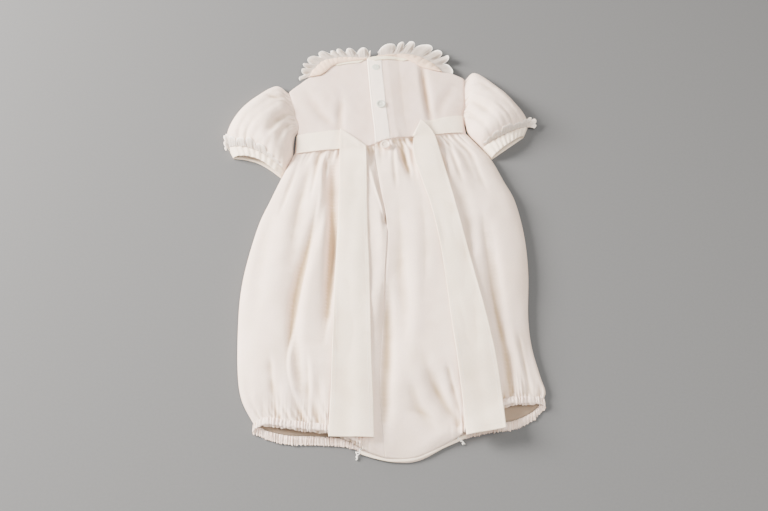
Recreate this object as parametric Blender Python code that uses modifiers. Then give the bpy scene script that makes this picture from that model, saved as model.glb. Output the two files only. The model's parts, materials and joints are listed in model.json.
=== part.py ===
"""Baby romper laid flat on its front, seen from the back.

Millimetres in the tables, metres in the meshes. X runs to the right, Y away towards the collar,
Z up from the surface. Front panels lie on the surface, back panels arch over them, so the bloomers,
bodice and sleeves are hollow. Every piece of cloth is an open sheet given its wall by Solidify.
"""
import math

import bpy
import numpy as np

MM = 0.001
COLLECTION = "baby_romper"

WALL = 1.2            # cloth wall
SEAM = 0.3            # gap between two sewn pieces
FLOOR_MID = 0.6       # middle of a wall that lies on the surface
SIDE_EDGE = 2.6       # top of a back panel's wall where it meets the front at a side seam
ARM_EDGE = 5.0        # top of the back bodice along the armhole
SHIFT = (1.8, -4.0)    # moves the outline's middle to the origin

SKIRT_COLS, SKIRT_ROWS = 30, 21
BODICE_COLS, BODICE_ROWS = 12, 10
FRONT_COLS = 24
SLEEVE_TOP, SLEEVE_UNDER, SLEEVE_ROWS = 27, 6, 6

# outlines: x, y
SIDE_LEFT = ((-93.5, 99.5), (-105.7, 68.5), (-117, 37.5), (-127.2, 8), (-136.2, -35), (-140.8, -72),
             (-141, -111), (-138, -160), (-132, -190), (-119, -213))
SIDE_RIGHT = ((96, 127), (111, 107.5), (122.4, 91.5), (134.5, 63), (145, 37), (152, -5), (153.3, -50),
              (149.8, -100), (151, -133), (157, -164), (161, -180), (159, -187))
WAIST = ((-93.5, 99.5), (-68, 101), (-42, 102.5), (-14, 105), (10, 113), (36, 118), (59, 121.5), (96, 127))
ARM_LEFT = ((-103, 184), (-97, 163), (-94, 149), (-90, 136), (-92, 122), (-93.5, 100))
ARM_RIGHT = ((97, 203), (96, 183), (96, 165), (93, 151), (95, 137), (96, 127.5))
TOP_LEFT = ((-103, 184), (-90, 195.5), (-79, 204), (-67, 207), (-61, 214), (-56, 221), (-48, 226),
            (-36, 228.5), (-15, 230.5), (11, 232))
TOP_RIGHT = ((-15, 230.5), (-4, 233), (10, 235), (22, 235), (36, 230), (43, 225), (54, 218), (69, 212.5),
             (83, 209.5), (97, 203))
LAP_EDGE = ((-15, 230.5), (-12, 191), (-9, 155), (-6, 127), (-5, 106.5))
UNDER_EDGE = ((11, 232), (12, 200), (13, 160), (15, 130), (16, 114.5))
SLIT = ((-5, 106.5), (-4, 84), (1, 45), (8, 0), (6, -60), (5, -95), (2, -144), (1, -190), (6, -236.5))
HEM_BACK_LEFT = ((-119, -213), (-108, -209), (-90, -211.5), (-68, -215), (-46, -217.5), (-28, -224),
                 (-14, -231), (6, -236.5))
HEM_BACK_RIGHT = ((6, -236.5), (20, -237.5), (32, -236.5), (44, -232.5), (62, -223.5), (79, -215.5),
                  (100, -203.5), (122, -190), (142, -187.5), (159, -187))
HEM_FRONT = ((-119, -213), (-106, -219.5), (-85, -224.5), (-61, -225), (-31, -227), (-14, -233),
             (6, -240.8), (20, -242.6), (32, -242), (44, -238), (62, -228), (79, -220), (102, -213.5),
             (128, -209.5), (148, -200), (159, -187))
NECK_FRONT = ((-103, 184), (-80, 200), (-62, 196), (-36, 184), (-5, 180), (30, 188), (54, 204), (73, 210.5),
              (97, 203))

# arch of the back: share of the way down, height at the middle
SKIRT_ARCH = ((0.0, 10.5), (0.05, 14.5), (0.14, 19.0), (0.35, 21.5), (0.6, 21.5), (0.82, 19.5),
              (0.93, 15.5), (1.0, 12.0))
BODICE_ARCH = ((0.0, 6.4), (0.35, 8.6), (0.75, 10.0), (1.0, 10.5))

# folds of the bloomers' back: three points on the path, width, depth, lean to the left side
SKIRT_FOLDS = (
    # x0,  y0,   x1,   y1,   x2,   y2,  width, depth, lean
    (-60, 34, -86, -95, -74, -208, 7.0, -5.0, -2.2),
    (-51, 88, -49, -10, -50, -100, 6.0, -6.5, 0.0),
    (-76, 92, -84, 0, -92, -100, 9.0, -3.2, 0.0),
    (5, -70, 6, -140, 2, -222, 8.0, -5.5, -1.5),
    (22, 112, 25, 88, 31, 62, 4.5, -2.5, -1.6),
    (21, -40, 24, -90, 22, -140, 9.0, -2.6, 0.0),
    (38, 20, 38, -60, 33, -150, 9.0, 1.6, 0.0),
    (86, 40, 92, 0, 88, -50, 8.0, -2.6, 0.0),
    (112, -5, 118, -95, 125, -196, 7.0, -4.2, -1.8),
    (128, -140, 130, -170, 133, -196, 5.5, -2.6, 0.0),
    (144, -130, 147, -168, 151, -196, 5.5, -2.4, 0.0),
    (78, -222, 62, -195, 48, -160, 7.0, -2.4, 0.0),
    (58, -228, 40, -205, 30, -175, 6.0, -1.8, 0.0),
    (-98, -172, -97, -190, -96, -210, 6.0, -2.0, 0.0),
    (-58, -176, -60, -195, -60, -214, 6.0, -1.8, 0.0),
    (-112, 30, -122, -40, -124, -110, 9.0, -2.2, 0.0),
    (66, 112, 68, 90, 72, 55, 5.0, -2.0, 0.0),
    (84, 118, 92, 95, 104, 60, 6.0, -2.0, 0.0),
)
BODICE_FOLDS = (
    (47, 222, 50, 184, 55, 140, 5.0, -2.2, -1.6),
    (-43, 170, -44, 148, -43, 128, 5.0, -1.8, 0.0),
    (-82, 178, -66, 152, -44, 128, 7.0, -1.6, 0.0),
    (84, 190, 72, 168, 66, 146, 7.0, -1.4, 0.0),
)
WAIST_GATHERS, WAIST_GATHER_DEPTH, WAIST_GATHER_REACH = 17, 1.1, 0.09
HEM_GATHERS, HEM_GATHER_DEPTH, HEM_GATHER_REACH = 17, 0.8, 0.06

# sleeves: outer fold x, y, under fold x, y, height of the puff, bow of the line between them
SLEEVE_LEFT_ROWS = (
    (-103.6, 184.5, -94.6, 124, 3.8, 0.0),
    (-119, 194, -95.6, 112, 12.0, 0.0),
    (-140.5, 176.5, -97.4, 98, 20.0, 2.0),
    (-159, 154, -102, 86.5, 23.0, 4.0),
    (-169, 129, -104.4, 79.5, 19.0, 6.0),
    (-166.5, 108, -105.6, 77, 10.0, 7.0),
)
SLEEVE_RIGHT_ROWS = (
    (97.7, 203.5, 96.8, 137.5, 3.8, 0.0),
    (111, 213, 97.8, 130.5, 12.0, 0.0),
    (138.5, 187, 101.6, 123.9, 20.0, 0.0),
    (155, 163.5, 106.6, 117.4, 23.0, 0.0),
    (164, 147.5, 110.6, 111.8, 19.0, 0.0),
    (164.8, 136, 113.6, 107.8, 10.0, 0.0),
)
ARM_CURVE_LEFT = ((-103.6, 184.5), (-97.8, 163), (-94.9, 149), (-91.3, 136), (-94.6, 124))
ARM_CURVE_RIGHT = ((97.7, 203.5), (96.8, 183), (96.8, 165), (93.9, 151), (96.8, 137.5))
SLEEVE_GATHERS, SLEEVE_GATHER_DEPTH = 9, 0.9
CUFF_START = 0.11         # share of the cuff left open between puff and band
CUFF_LEFT_END = (-160, 95, -108.6, 69)
CUFF_RIGHT_END = (159.5, 123.5, 123, 94)
# frill: share of the puff's last stretch that it covers, its start, its end round the ring, mm off the puff
FRILL_REACH, FRILL_START, FRILL_ARC = 0.6, 0.12, 0.76
FRILL_LIFT, FRILL_FLARE, FRILL_WAVES, FRILL_DEPTH = 1.9, 1.2, 11, 0.7

# collar halves: x where each starts and ends on the neck edge, then the line of its ruffle seam
COLLAR_LEFT_SPAN = (-13, -79)
COLLAR_LEFT_ROOT = ((-11, 235.5), (-25, 236.5), (-38, 237.5), (-50, 236.5), (-68, 231), (-77, 220),
                    (-82, 208))
COLLAR_RIGHT_SPAN = (-3, 69)
COLLAR_RIGHT_ROOT = ((-2, 238), (12, 241), (30, 242), (46, 238.5), (60, 230.5), (69, 222), (73, 214.5))
RUFFLE_LEFT_EDGE = ((-9.5, 247), (-24, 248.5), (-40, 248), (-57, 247), (-77, 241), (-90, 223), (-95, 200))
RUFFLE_RIGHT_EDGE = ((-2.5, 250), (14, 252), (32, 257), (52, 255), (70, 245), (80, 230), (84, 211))
COLLAR_GAP, COLLAR_CORNER, COLLAR_CORNER_REACH = 0.45, -65, 7
COLLAR_Z_ROOT, COLLAR_BULGE, RUFFLE_Z, RUFFLE_END_DROP = 7.6, 0.8, 6.8, 1.6
RUFFLE_WAVES, RUFFLE_DEPTH, RUFFLE_REACH = 8, 4.4, 1.7

# sashes: one edge x, y, the other edge x, y, lift over what lies under it
SASH_LEFT_ROWS = (
    (-91.5, 122, -91.5, 98, 0.0),
    (-72, 124, -72, 99, 0.0),
    (-54, 126, -50, 100.5, 0.0),
    (-47.5, 126.8, -30, 101.5, 0.0),
    (-43.5, 127, -15, 102.4, 0.0),
    (-42.6, 127.9, -14.1, 103.3, 0.95),
    (-43.5, 127, -15, 102.4, 1.9),
    (-44, 119, -14.4, 97, 1.9),
    (-44, 103, -14, 86, 1.9),
    (-43.5, 80, -13.5, 70, 1.0),
    (-43, 40, -13, 38, 0.6),
    (-44, -5, -12, -6, 0.6),
    (-45, -50, -10, -50, 0.6),
    (-46, -100, -8.5, -100, 0.6),
    (-46, -150, -7, -150, 0.6),
    (-46.5, -195, -5, -195, 0.7),
    (-47, -216, -4.5, -216, 1.6),
    (-47, -231, -4, -231, 2.4),
)
SASH_RIGHT_ROWS = (
    (93, 149.5, 92.5, 126, 0.0),
    (74, 145.5, 74, 123, 0.0),
    (58, 141, 55, 119.5, 0.0),
    (47, 138.5, 38, 117, 0.0),
    (46.1, 138.9, 37.1, 117.4, 0.95),
    (47, 138.5, 38, 117, 1.9),
    (55, 130, 37, 109, 1.9),
    (61, 117, 36.5, 100, 1.9),
    (66, 92, 38, 83, 1.2),
    (73, 58, 45, 55, 0.6),
    (80, 25, 54, 22, 0.6),
    (89, -20, 62, -22, 0.6),
    (98, -65, 67, -67, 0.6),
    (107, -108, 71, -110, 0.6),
    (114, -150, 75.5, -152, 0.6),
    (117.5, -184, 79, -187, 0.7),
    (118.5, -203, 80.5, -209, 2.2),
    (119.5, -222, 82, -229, 2.8),
)
SASH_GAP = 1.3
SASH_COLS = 6

# leg bands: x, y, z of the sewn edge, from the back over the outer corner to the front
BAND_WIDTH = 9.0
CROTCH_SPAN = (-15.5, 80.5)
CROTCH_BACK, CROTCH_FRONT, CROTCH_REST = 11.0, 8.0, 3.2
LEG_LEFT_SPAN = (-17, -119)
LEG_RIGHT_SPAN = (82, 159)
LEG_PLEATS_PER_MM, LEG_PLEAT_DEPTH = 0.25, 0.5

# buttons on the lap: x, y, how far each is pulled into the cloth by its thread
BUTTONS = (("button_top", -4.5, 216, 0.0), ("button_middle", 1.5, 161, 0.0), ("button_waist", 6.5, 103.5, 0.7))
BUTTON_RADIUS, BUTTON_HEIGHT, BUTTON_DISH = 5.1, 2.4, 0.6
BUTTON_ROUND, BUTTON_RIM, BUTTON_SLOPE, BUTTON_SIDES = 0.7, 0.9, 0.6, 16

LAP_LIFT, LAP_REACH = 1.9, 16.0
SLIT_DROP, SLIT_WIDTH = 3.5, 9.0

COLOURS = {
    "cotton": (0.80, 0.77, 0.71, 1.0),
    "ruffle_cotton": (0.84, 0.82, 0.77, 1.0),
    "sash_cotton": (0.82, 0.78, 0.71, 1.0),
    "button": (0.86, 0.83, 0.76, 1.0),
}


def spline(points, t):
    """Points on a smooth run through the rows, t from 0 to 1 along its length."""
    rows = np.array(points, dtype=float)
    padded = np.vstack([2 * rows[0] - rows[1], rows, 2 * rows[-1] - rows[-2]])
    steps = 24
    fine = []
    for i in range(len(rows) - 1):
        p0, p1, p2, p3 = padded[i], padded[i + 1], padded[i + 2], padded[i + 3]
        for k in range(steps):
            a = k / steps
            fine.append(0.5 * (2 * p1 + (p2 - p0) * a + (2 * p0 - 5 * p1 + 4 * p2 - p3) * a * a
                               + (3 * p1 - p0 - 3 * p2 + p3) * a ** 3))
    fine.append(rows[-1])
    fine = np.array(fine)
    length = np.concatenate([[0], np.cumsum(np.linalg.norm(np.diff(fine, axis=0), axis=1))])
    share = np.clip(np.asarray(t, dtype=float), 0, 1) * length[-1]
    return np.stack([np.interp(share, length, fine[:, k]) for k in range(rows.shape[1])], axis=-1)


def row_values(rows, t):
    """Smooth values of a table at t from 0 to 1, its rows evenly spaced."""
    rows = np.array(rows, dtype=float)
    padded = np.vstack([2 * rows[0] - rows[1], rows, 2 * rows[-1] - rows[-2]])
    place = np.clip(np.asarray(t, dtype=float), 0, 1) * (len(rows) - 1)
    i = np.minimum(place.astype(int), len(rows) - 2)
    a = (place - i)[..., None]
    p0, p1, p2, p3 = padded[i], padded[i + 1], padded[i + 2], padded[i + 3]
    return 0.5 * (2 * p1 + (p2 - p0) * a + (2 * p0 - 5 * p1 + 4 * p2 - p3) * a * a
                  + (3 * p1 - p0 - 3 * p2 + p3) * a ** 3)


def along(curve, key, value, of=1):
    """Other coordinate of a curve where its key coordinate has a value."""
    fine = spline(curve, np.linspace(0, 1, 400))
    order = np.argsort(fine[:, key])
    return np.interp(value, fine[order, key], fine[order, of])


def patch(left, right, top, bottom, u, v):
    """x, y inside four edge curves; u runs from left to right and v from top to bottom."""
    u, v = u[..., None], v[..., None]
    lf, rt = spline(left, v[..., 0]), spline(right, v[..., 0])
    tp, bt = spline(top, u[..., 0]), spline(bottom, u[..., 0])
    corner = ((1 - u) * (1 - v) * np.array(left[0]) + u * (1 - v) * np.array(right[0])
              + (1 - u) * v * np.array(left[-1]) + u * v * np.array(right[-1]))
    return (1 - u) * lf + u * rt + (1 - v) * tp + v * bt - corner


def creases(x, y, folds):
    """Height that the folds add at x, y."""
    total = np.zeros_like(x)
    t = np.linspace(0, 1, 25)
    for x0, y0, x1, y1, x2, y2, width, depth, lean in folds:
        path = spline(((x0, y0), (x1, y1), (x2, y2)), t)
        tangent = np.gradient(path, axis=0)
        tangent /= np.linalg.norm(tangent, axis=1)[:, None]
        dx = x[..., None] - path[:, 0]
        dy = y[..., None] - path[:, 1]
        near = np.argmin(dx * dx + dy * dy, axis=-1)
        ex = np.take_along_axis(dx, near[..., None], -1)[..., 0]
        ey = np.take_along_axis(dy, near[..., None], -1)[..., 0]
        tx, ty = tangent[near, 0], tangent[near, 1]
        side = (tx * ey - ty * ex) / width
        past = (tx * ex + ty * ey) / (2 * width)
        taper = np.sin(math.pi * np.clip(0.04 + 0.92 * t[near], 0, 1)) ** 0.5
        bell = np.exp(-side * side - past * past)
        total += taper * bell * (depth + 1.6 * lean * side)
    return total


def arch(s, sharp=2.6):
    """Rounded profile across a panel, s from 0 to 1."""
    return np.clip(1 - np.abs(2 * s - 1) ** sharp, 0, 1) ** 0.46


def skirt_share(x, y):
    """Share across and share down the bloomers' back at x, y."""
    left = along(SIDE_LEFT, 1, y, 0)
    right = along(SIDE_RIGHT, 1, y, 0)
    top = along(WAIST, 0, x)
    hem = along(HEM_BACK_LEFT + HEM_BACK_RIGHT[1:], 0, x)
    s = np.clip((x - left) / (right - left), 0, 1)
    d = np.clip((top - y) / (top - hem), 0, 1)
    return s, d


def skirt_dome(x, y):
    """Outer face of the bloomers' back without its folds."""
    s, d = skirt_share(x, y)
    table = np.array(SKIRT_ARCH)
    height = np.interp(d, table[:, 0], table[:, 1])
    crotch = np.exp(-((x - 30) / 34) ** 2) * np.clip((d - 0.8) / 0.2, 0, 1) ** 1.5
    return SIDE_EDGE + (height - SIDE_EDGE) * arch(s, 3.4) * (1 - 0.66 * crotch)


def skirt_height(x, y):
    """Outer face of the bloomers' back."""
    s, d = skirt_share(x, y)
    dome = skirt_dome(x, y)
    rise = np.clip((dome - SIDE_EDGE) / 10, 0, 1)
    waist = WAIST_GATHER_DEPTH * np.exp(-d / WAIST_GATHER_REACH) * np.cos(2 * math.pi * WAIST_GATHERS * s)
    hem = HEM_GATHER_DEPTH * np.exp(-(1 - d) / HEM_GATHER_REACH) * np.cos(2 * math.pi * HEM_GATHERS * s)
    return dome + rise * (creases(x, y, SKIRT_FOLDS) + waist * np.clip(d / 0.02, 0, 1) + hem)


def bodice_height(x, y):
    """Outer face of the back bodice."""
    left = along(ARM_LEFT, 1, y, 0)
    right = along(ARM_RIGHT, 1, y, 0)
    s = np.clip((x - left) / (right - left), 0, 1)
    waist = along(WAIST, 0, x)
    d = np.clip((232 - y) / (232 - waist), 0, 1)
    table = np.array(BODICE_ARCH)
    height = np.interp(d, table[:, 0], table[:, 1])
    arm = ARM_EDGE - (ARM_EDGE - SIDE_EDGE) * np.clip((d - 0.75) / 0.2, 0, 1)
    rise = np.clip(arch(s) * 1.2, 0, 1)
    return arm + (height + WALL - arm) * arch(s) + rise * creases(x, y, BODICE_FOLDS)


def back_height(x, y):
    """Outer face of the back, bodice or bloomers, whichever is at x, y."""
    waist = along(WAIST, 0, x)
    return np.where(y > waist, bodice_height(x, y), skirt_height(x, y))


def lap_edge_x(y):
    """x of the lap's free edge from the neck to the end of the slit."""
    return np.where(y > 106.5, along(LAP_EDGE, 1, y, 0), along(SLIT, 1, y, 0))


def lap_lift(x, y):
    """Extra height of the right back where it laps over the left."""
    past = x - lap_edge_x(y)
    across = np.clip(1 - (past - LAP_REACH - 8) / 12, 0, 1)
    down = np.clip((y - 60) / 40, 0, 1)
    return LAP_LIFT * across * down


def over_height(x, y):
    """Highest point of the back near x, y, for what lies over it."""
    reach = 3.5
    high = back_height(x, y) + np.where(x > lap_edge_x(y) - 3, lap_lift(x, y), 0)
    for dx, dy in ((reach, 0), (-reach, 0), (0, reach), (0, -reach)):
        nx, ny = x + dx, y + dy
        there = back_height(nx, ny) + np.where(nx > lap_edge_x(ny) - 3, lap_lift(nx, ny), 0)
        high = np.maximum(high, there)
    return high


def material(name):
    """Principled material of one colour."""
    mat = bpy.data.materials.get(name)
    if mat is None:
        mat = bpy.data.materials.new(name)
        mat.use_nodes = True
        shader = mat.node_tree.nodes["Principled BSDF"]
        shader.inputs["Base Color"].default_value = COLOURS[name]
        shader.inputs["Roughness"].default_value = 0.4 if name == "button" else 0.9
        mat.diffuse_color = COLOURS[name]
    return mat


def keep(mesh, name, colour, home):
    """Object from a mesh, smooth shaded, in the romper's collection."""
    obj = bpy.data.objects.new(name, mesh)
    home.objects.link(obj)
    obj.data.materials.append(material(colour))
    for face in obj.data.polygons:
        face.use_smooth = True
    return obj


def sheet(name, grid, colour, home, wall=WALL, offset=-1.0, closed=False):
    """Cloth sheet through a grid of x, y, z rows, with its wall.

    The grid's first axis runs down, its second across; faces look up for a grid seen from above.
    A closed sheet joins its last column to its first.
    """
    rows, cols = grid.shape[:2]
    moved = grid + np.array([SHIFT[0], SHIFT[1], 0.0])
    verts = [tuple(p * MM) for p in moved.reshape(-1, 3)]
    faces = []
    for r in range(rows - 1):
        for c in range(cols if closed else cols - 1):
            n = (c + 1) % cols
            faces.append((r * cols + c, (r + 1) * cols + c, (r + 1) * cols + n, r * cols + n))
    mesh = bpy.data.meshes.new(name)
    mesh.from_pydata(verts, [], faces)
    mesh.update()
    obj = keep(mesh, name, colour, home)
    solid = obj.modifiers.new("wall", 'SOLIDIFY')
    solid.thickness = wall * MM
    solid.offset = offset
    solid.use_rim = True
    return obj


def back_panel(name, left, right, top, bottom, cols, rows, height, dense, home):
    """Back panel inside four edges, on the height of the back; dense names the crowded side."""
    i = np.linspace(0, 1, cols + 1)
    if dense == "left":
        i = 1 - np.sin(0.5 * math.pi * (1 - i)) * 0.6 - (1 - i) * 0.4
    else:
        i = np.sin(0.5 * math.pi * i) * 0.6 + i * 0.4
    u, v = np.meshgrid(i, np.linspace(0, 1, rows + 1))
    xy = patch(left, right, top, bottom, u, v)
    z = height(xy[..., 0], xy[..., 1])
    return sheet(name, np.dstack([xy, z]), "cotton", home)


def flat_panel(name, left, right, top, bottom, cols, rows, home):
    """Front panel that lies on the surface."""
    u, v = np.meshgrid(np.linspace(0, 1, cols + 1), np.linspace(0, 1, rows + 1))
    xy = patch(left, right, top, bottom, u, v)
    return sheet(name, np.dstack([xy, np.full(u.shape, WALL)]), "cotton", home)


def moved(curve, dx, dy):
    """Curve moved by dx, dy."""
    return tuple((x + dx, y + dy) for x, y in curve)


def part_of(curve, start, end, count=9):
    """Piece of a curve between two shares of its length, as rows."""
    return tuple(tuple(p) for p in spline(curve, np.linspace(start, end, count)))


def share_at(curve, key, value):
    """Share of a curve's length where its key coordinate has a value."""
    t = np.linspace(0, 1, 800)
    fine = spline(curve, t)
    return float(t[np.argmin(np.abs(fine[:, key] - value))])


def build_bloomers(home):
    """Front and two backs of the bloomers."""
    cut = share_at(WAIST, 0, SLIT[0][0])
    gap = 0.5 * SEAM
    waist_left = moved(part_of(WAIST, 0, cut), 0, -gap)
    waist_right = moved(part_of(WAIST, cut, 1), 0, -gap)
    seam_left = moved(SLIT, -gap, -gap)
    seam_right = moved(SLIT, gap, -gap)
    left = (waist_left[0],) + SIDE_LEFT[1:]
    right = (waist_right[-1],) + SIDE_RIGHT[1:]
    seam_left = (waist_left[-1],) + seam_left[1:]
    seam_right = (waist_right[0],) + seam_right[1:]
    hem_left = HEM_BACK_LEFT[:-1] + (seam_left[-1],)
    hem_right = (seam_right[-1],) + HEM_BACK_RIGHT[1:]

    def left_height(x, y):
        past = np.clip((lap_edge_x(y) - x) / SLIT_WIDTH, 0, 4)
        open_part = np.clip((y + 4) / 30, 0, 1)
        return skirt_height(x, y) - SLIT_DROP * np.exp(-past * past) * open_part

    def right_height(x, y):
        return skirt_height(x, y) + lap_lift(x, y)

    back_panel("skirt_back_left", left, seam_left, waist_left, hem_left,
               SKIRT_COLS, SKIRT_ROWS, left_height, "left", home)
    back_panel("skirt_back_right", seam_right, right, waist_right, hem_right,
               SKIRT_COLS, SKIRT_ROWS, right_height, "right", home)
    front_top = moved(WAIST, 0, -gap)
    front_left = (front_top[0],) + SIDE_LEFT[1:]
    front_right = (front_top[-1],) + SIDE_RIGHT[1:]
    flat_panel("skirt_front", front_left, front_right, front_top, HEM_FRONT, FRONT_COLS, 4, home)


def build_bodice(home):
    """Front and two backs of the bodice."""
    gap = 0.5 * SEAM
    cut_over = share_at(WAIST, 0, LAP_EDGE[-1][0])
    cut_under = share_at(WAIST, 0, UNDER_EDGE[-1][0])
    base_left = moved(part_of(WAIST, 0, cut_under), 0, gap)
    base_right = moved(part_of(WAIST, cut_over, 1), 0, gap)
    arm_left = ARM_LEFT[:-1] + (base_left[0],)
    arm_right = ARM_RIGHT[:-1] + (base_right[-1],)
    under = UNDER_EDGE[:-1] + (base_left[-1],)
    over = LAP_EDGE[:-1] + (base_right[0],)

    def over_lap(x, y):
        return bodice_height(x, y) + lap_lift(x, y)

    back_panel("bodice_back_left", arm_left, under, TOP_LEFT, base_left,
               BODICE_COLS + 5, BODICE_ROWS, bodice_height, "left", home)
    back_panel("bodice_back_right", over, arm_right, TOP_RIGHT, base_right,
               BODICE_COLS, BODICE_ROWS, over_lap, "right", home)
    base = moved(WAIST, 0, gap)
    front_left = ARM_LEFT[:-1] + (base[0],)
    front_right = ARM_RIGHT[:-1] + (base[-1],)
    flat_panel("bodice_front", front_left, front_right, NECK_FRONT, base, FRONT_COLS, 6, home)


def ring_angles():
    """Angles round a sleeve: over the top from the outer fold, then back underneath."""
    top = np.linspace(0, math.pi, SLEEVE_TOP + 1)[:-1]
    under = np.linspace(math.pi, 2 * math.pi, SLEEVE_UNDER + 1)[:-1]
    return np.concatenate([top, under])


def ring(a, b, height, bow, angles, power=0.8):
    """Ring of points over a line from the outer fold a to the under fold b."""
    c = (1 - np.cos(angles)) / 2
    x = a[0] + (b[0] - a[0]) * c
    y = a[1] + (b[1] - a[1]) * c + bow * np.sin(math.pi * c)
    z = FLOOR_MID + height * np.clip(np.sin(angles), 0, 1) ** power
    return np.stack([x, y, z], axis=-1), c


def puff_ring(rows, arm_curve, v, angles):
    """Ring of a puff at the share v of the way from the armhole to the cuff."""
    ax, ay, bx, by, height, bow = row_values(rows, v)
    points, c = ring((ax, ay), (bx, by), height, bow, angles, 0.45 + 0.35 * min(1, 4 * v))
    chord_a, chord_b = np.array(rows[0][:2]), np.array(rows[0][2:4])
    chord = chord_a + (chord_b - chord_a) * c[:, None]
    points[:, :2] += (spline(arm_curve, c) - chord) * (1 - v) ** 3
    over = np.clip(np.sin(angles), 0, 1)
    near = math.exp(-v / 0.16) * min(1, v / 0.05) + math.exp(-(1 - v) / 0.14)
    points[:, 2] += SLEEVE_GATHER_DEPTH * near * over * np.cos(2 * math.pi * SLEEVE_GATHERS * c)
    return points


def build_sleeve(side, rows, arm_curve, cuff_end, home):
    """Puff sleeve, its cuff band, and the frill that is turned back from the band over the puff."""
    turned = slice(None, None, -1) if side == "left" else slice(None)
    angles = ring_angles()
    puff = np.array([puff_ring(rows, arm_curve, v, angles) for v in np.linspace(0, 1, SLEEVE_ROWS + 1)])
    sheet("sleeve_" + side, puff[:, turned], "cotton", home, offset=0.0, closed=True)

    end = rows[-1]
    out_a = np.array([cuff_end[0] - end[0], cuff_end[1] - end[1]])
    out_b = np.array([cuff_end[2] - end[2], cuff_end[3] - end[3]])
    band = []
    for w in (CUFF_START, 0.5, 1.0):
        a, b = np.array(end[:2]) + out_a * w, np.array(end[2:4]) + out_b * w
        band.append(ring(a, b, end[4] - 0.6 * w, end[5], angles)[0])
    sheet("cuff_" + side, np.array(band)[:, turned], "cotton", home, offset=0.0, closed=True)

    steps = 2 * SLEEVE_TOP
    arc = math.pi / steps * np.arange(1, int(FRILL_ARC * steps) + 1)
    low = np.column_stack([np.interp(arc, angles, puff[-1][:, k]) for k in range(3)])
    high = np.column_stack([np.interp(arc, angles, puff[-2][:, k]) for k in range(3)])
    normal = np.cross(np.gradient(low, axis=0), high - low)
    normal *= np.where(normal[:, 2:] < 0, -1, 1) / np.linalg.norm(normal, axis=1)[:, None]
    frill = []
    for w in (0.0, 0.5, 1.0):
        points = low + (high - low) * (FRILL_START + w * FRILL_REACH)
        wave = FRILL_DEPTH * w * np.cos(2 * math.pi * FRILL_WAVES * np.linspace(0, 1, len(arc)))
        lift = FRILL_LIFT + FRILL_FLARE * w + wave
        frill.append(points + normal * lift[:, None])
    grid = np.array(frill)[::-1]
    grid[..., 2] = np.maximum(grid[..., 2], FLOOR_MID)
    sheet("cuff_frill_" + side, grid[:, turned], "ruffle_cotton", home, wall=1.0, offset=0.0)


def build_collar(side, top, span, root, edge, phase, home):
    """Collar half and the gathered ruffle on it."""
    cols = 16
    t = np.linspace(0, 1, cols + 1)
    run = part_of(top, share_at(top, 0, span[0]), share_at(top, 0, span[1]), 13)
    inner, outer = spline(run, t), spline(root, t)
    slope = np.gradient(inner, axis=0)
    slope /= np.linalg.norm(slope, axis=1)[:, None]
    away = np.column_stack([-slope[:, 1], slope[:, 0]])
    away[away[:, 1] < 0] *= -1
    neck_z = bodice_height(inner[:, 0], inner[:, 1]) - 0.5 * WALL
    if side == "right":
        neck_z = neck_z + lap_lift(inner[:, 0], inner[:, 1])
    corner = np.exp(-((inner[:, 0] - COLLAR_CORNER) / COLLAR_CORNER_REACH) ** 2)
    inner = inner + away * (COLLAR_GAP + corner)[:, None]
    grid = []
    for w in (0.0, 0.5, 1.0):
        xy = inner + (outer - inner) * w
        bulge = COLLAR_BULGE * math.sin(math.pi * w)
        z = neck_z * (1 - w) + (COLLAR_Z_ROOT - RUFFLE_END_DROP * t ** 2) * w + bulge
        grid.append(np.column_stack([xy, z]))
    grid = np.array(grid)
    if side == "right":
        grid = grid[::-1]
    sheet("collar_" + side, grid, "cotton", home, offset=0.0)

    cols = RUFFLE_WAVES * 7
    t = np.linspace(0, 1, cols + 1)
    inner, outer = spline(root, t), spline(edge, t)
    direction = outer - inner
    length = np.linalg.norm(direction, axis=1)[:, None]
    direction /= length
    inner = inner + direction * (SEAM + 0.3)
    grid = []
    for w in (0.0, 0.5, 1.0):
        turn = 2 * math.pi * RUFFLE_WAVES * t + phase + 0.7 * np.sin(2 * math.pi * 2.3 * t + phase)
        wave = np.tanh(1.5 * np.sin(turn)) / math.tanh(1.5)
        reach = (length[:, 0] + RUFFLE_REACH * wave) * w
        xy = inner + direction * reach[:, None]
        base = COLLAR_Z_ROOT + (RUFFLE_Z - COLLAR_Z_ROOT) * w - RUFFLE_END_DROP * t ** 2
        z = base + RUFFLE_DEPTH * w ** 1.2 * wave
        grid.append(np.column_stack([xy, np.maximum(z, FLOOR_MID)]))
    grid = np.array(grid)
    if side == "right":
        grid = grid[::-1]
    sheet("collar_ruffle_" + side, grid, "ruffle_cotton", home, wall=1.0, offset=0.0)


def build_sash(side, rows, home):
    """Flared tie: a band along the waist, folded over and laid down the back."""
    rows = np.array(rows, dtype=float)
    dense = []
    for i in range(len(rows) - 1):
        long = np.linalg.norm(rows[i + 1][:2] - rows[i][:2]) > 30
        steps = 2 if long else 1
        for k in range(steps):
            dense.append((i + k / steps) / (len(rows) - 1))
    dense.append(1.0)
    table = row_values(rows, np.array(dense))
    w = np.linspace(0, 1, SASH_COLS + 1)
    x = table[:, 0:1] * (1 - w) + table[:, 2:3] * w
    y = table[:, 1:2] * (1 - w) + table[:, 3:4] * w
    z = over_height(x, y) + SASH_GAP + table[:, 4:5]
    grid = np.dstack([x, y, z])
    sheet("sash_" + side, grid, "sash_cotton", home, offset=0.0)


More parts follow.
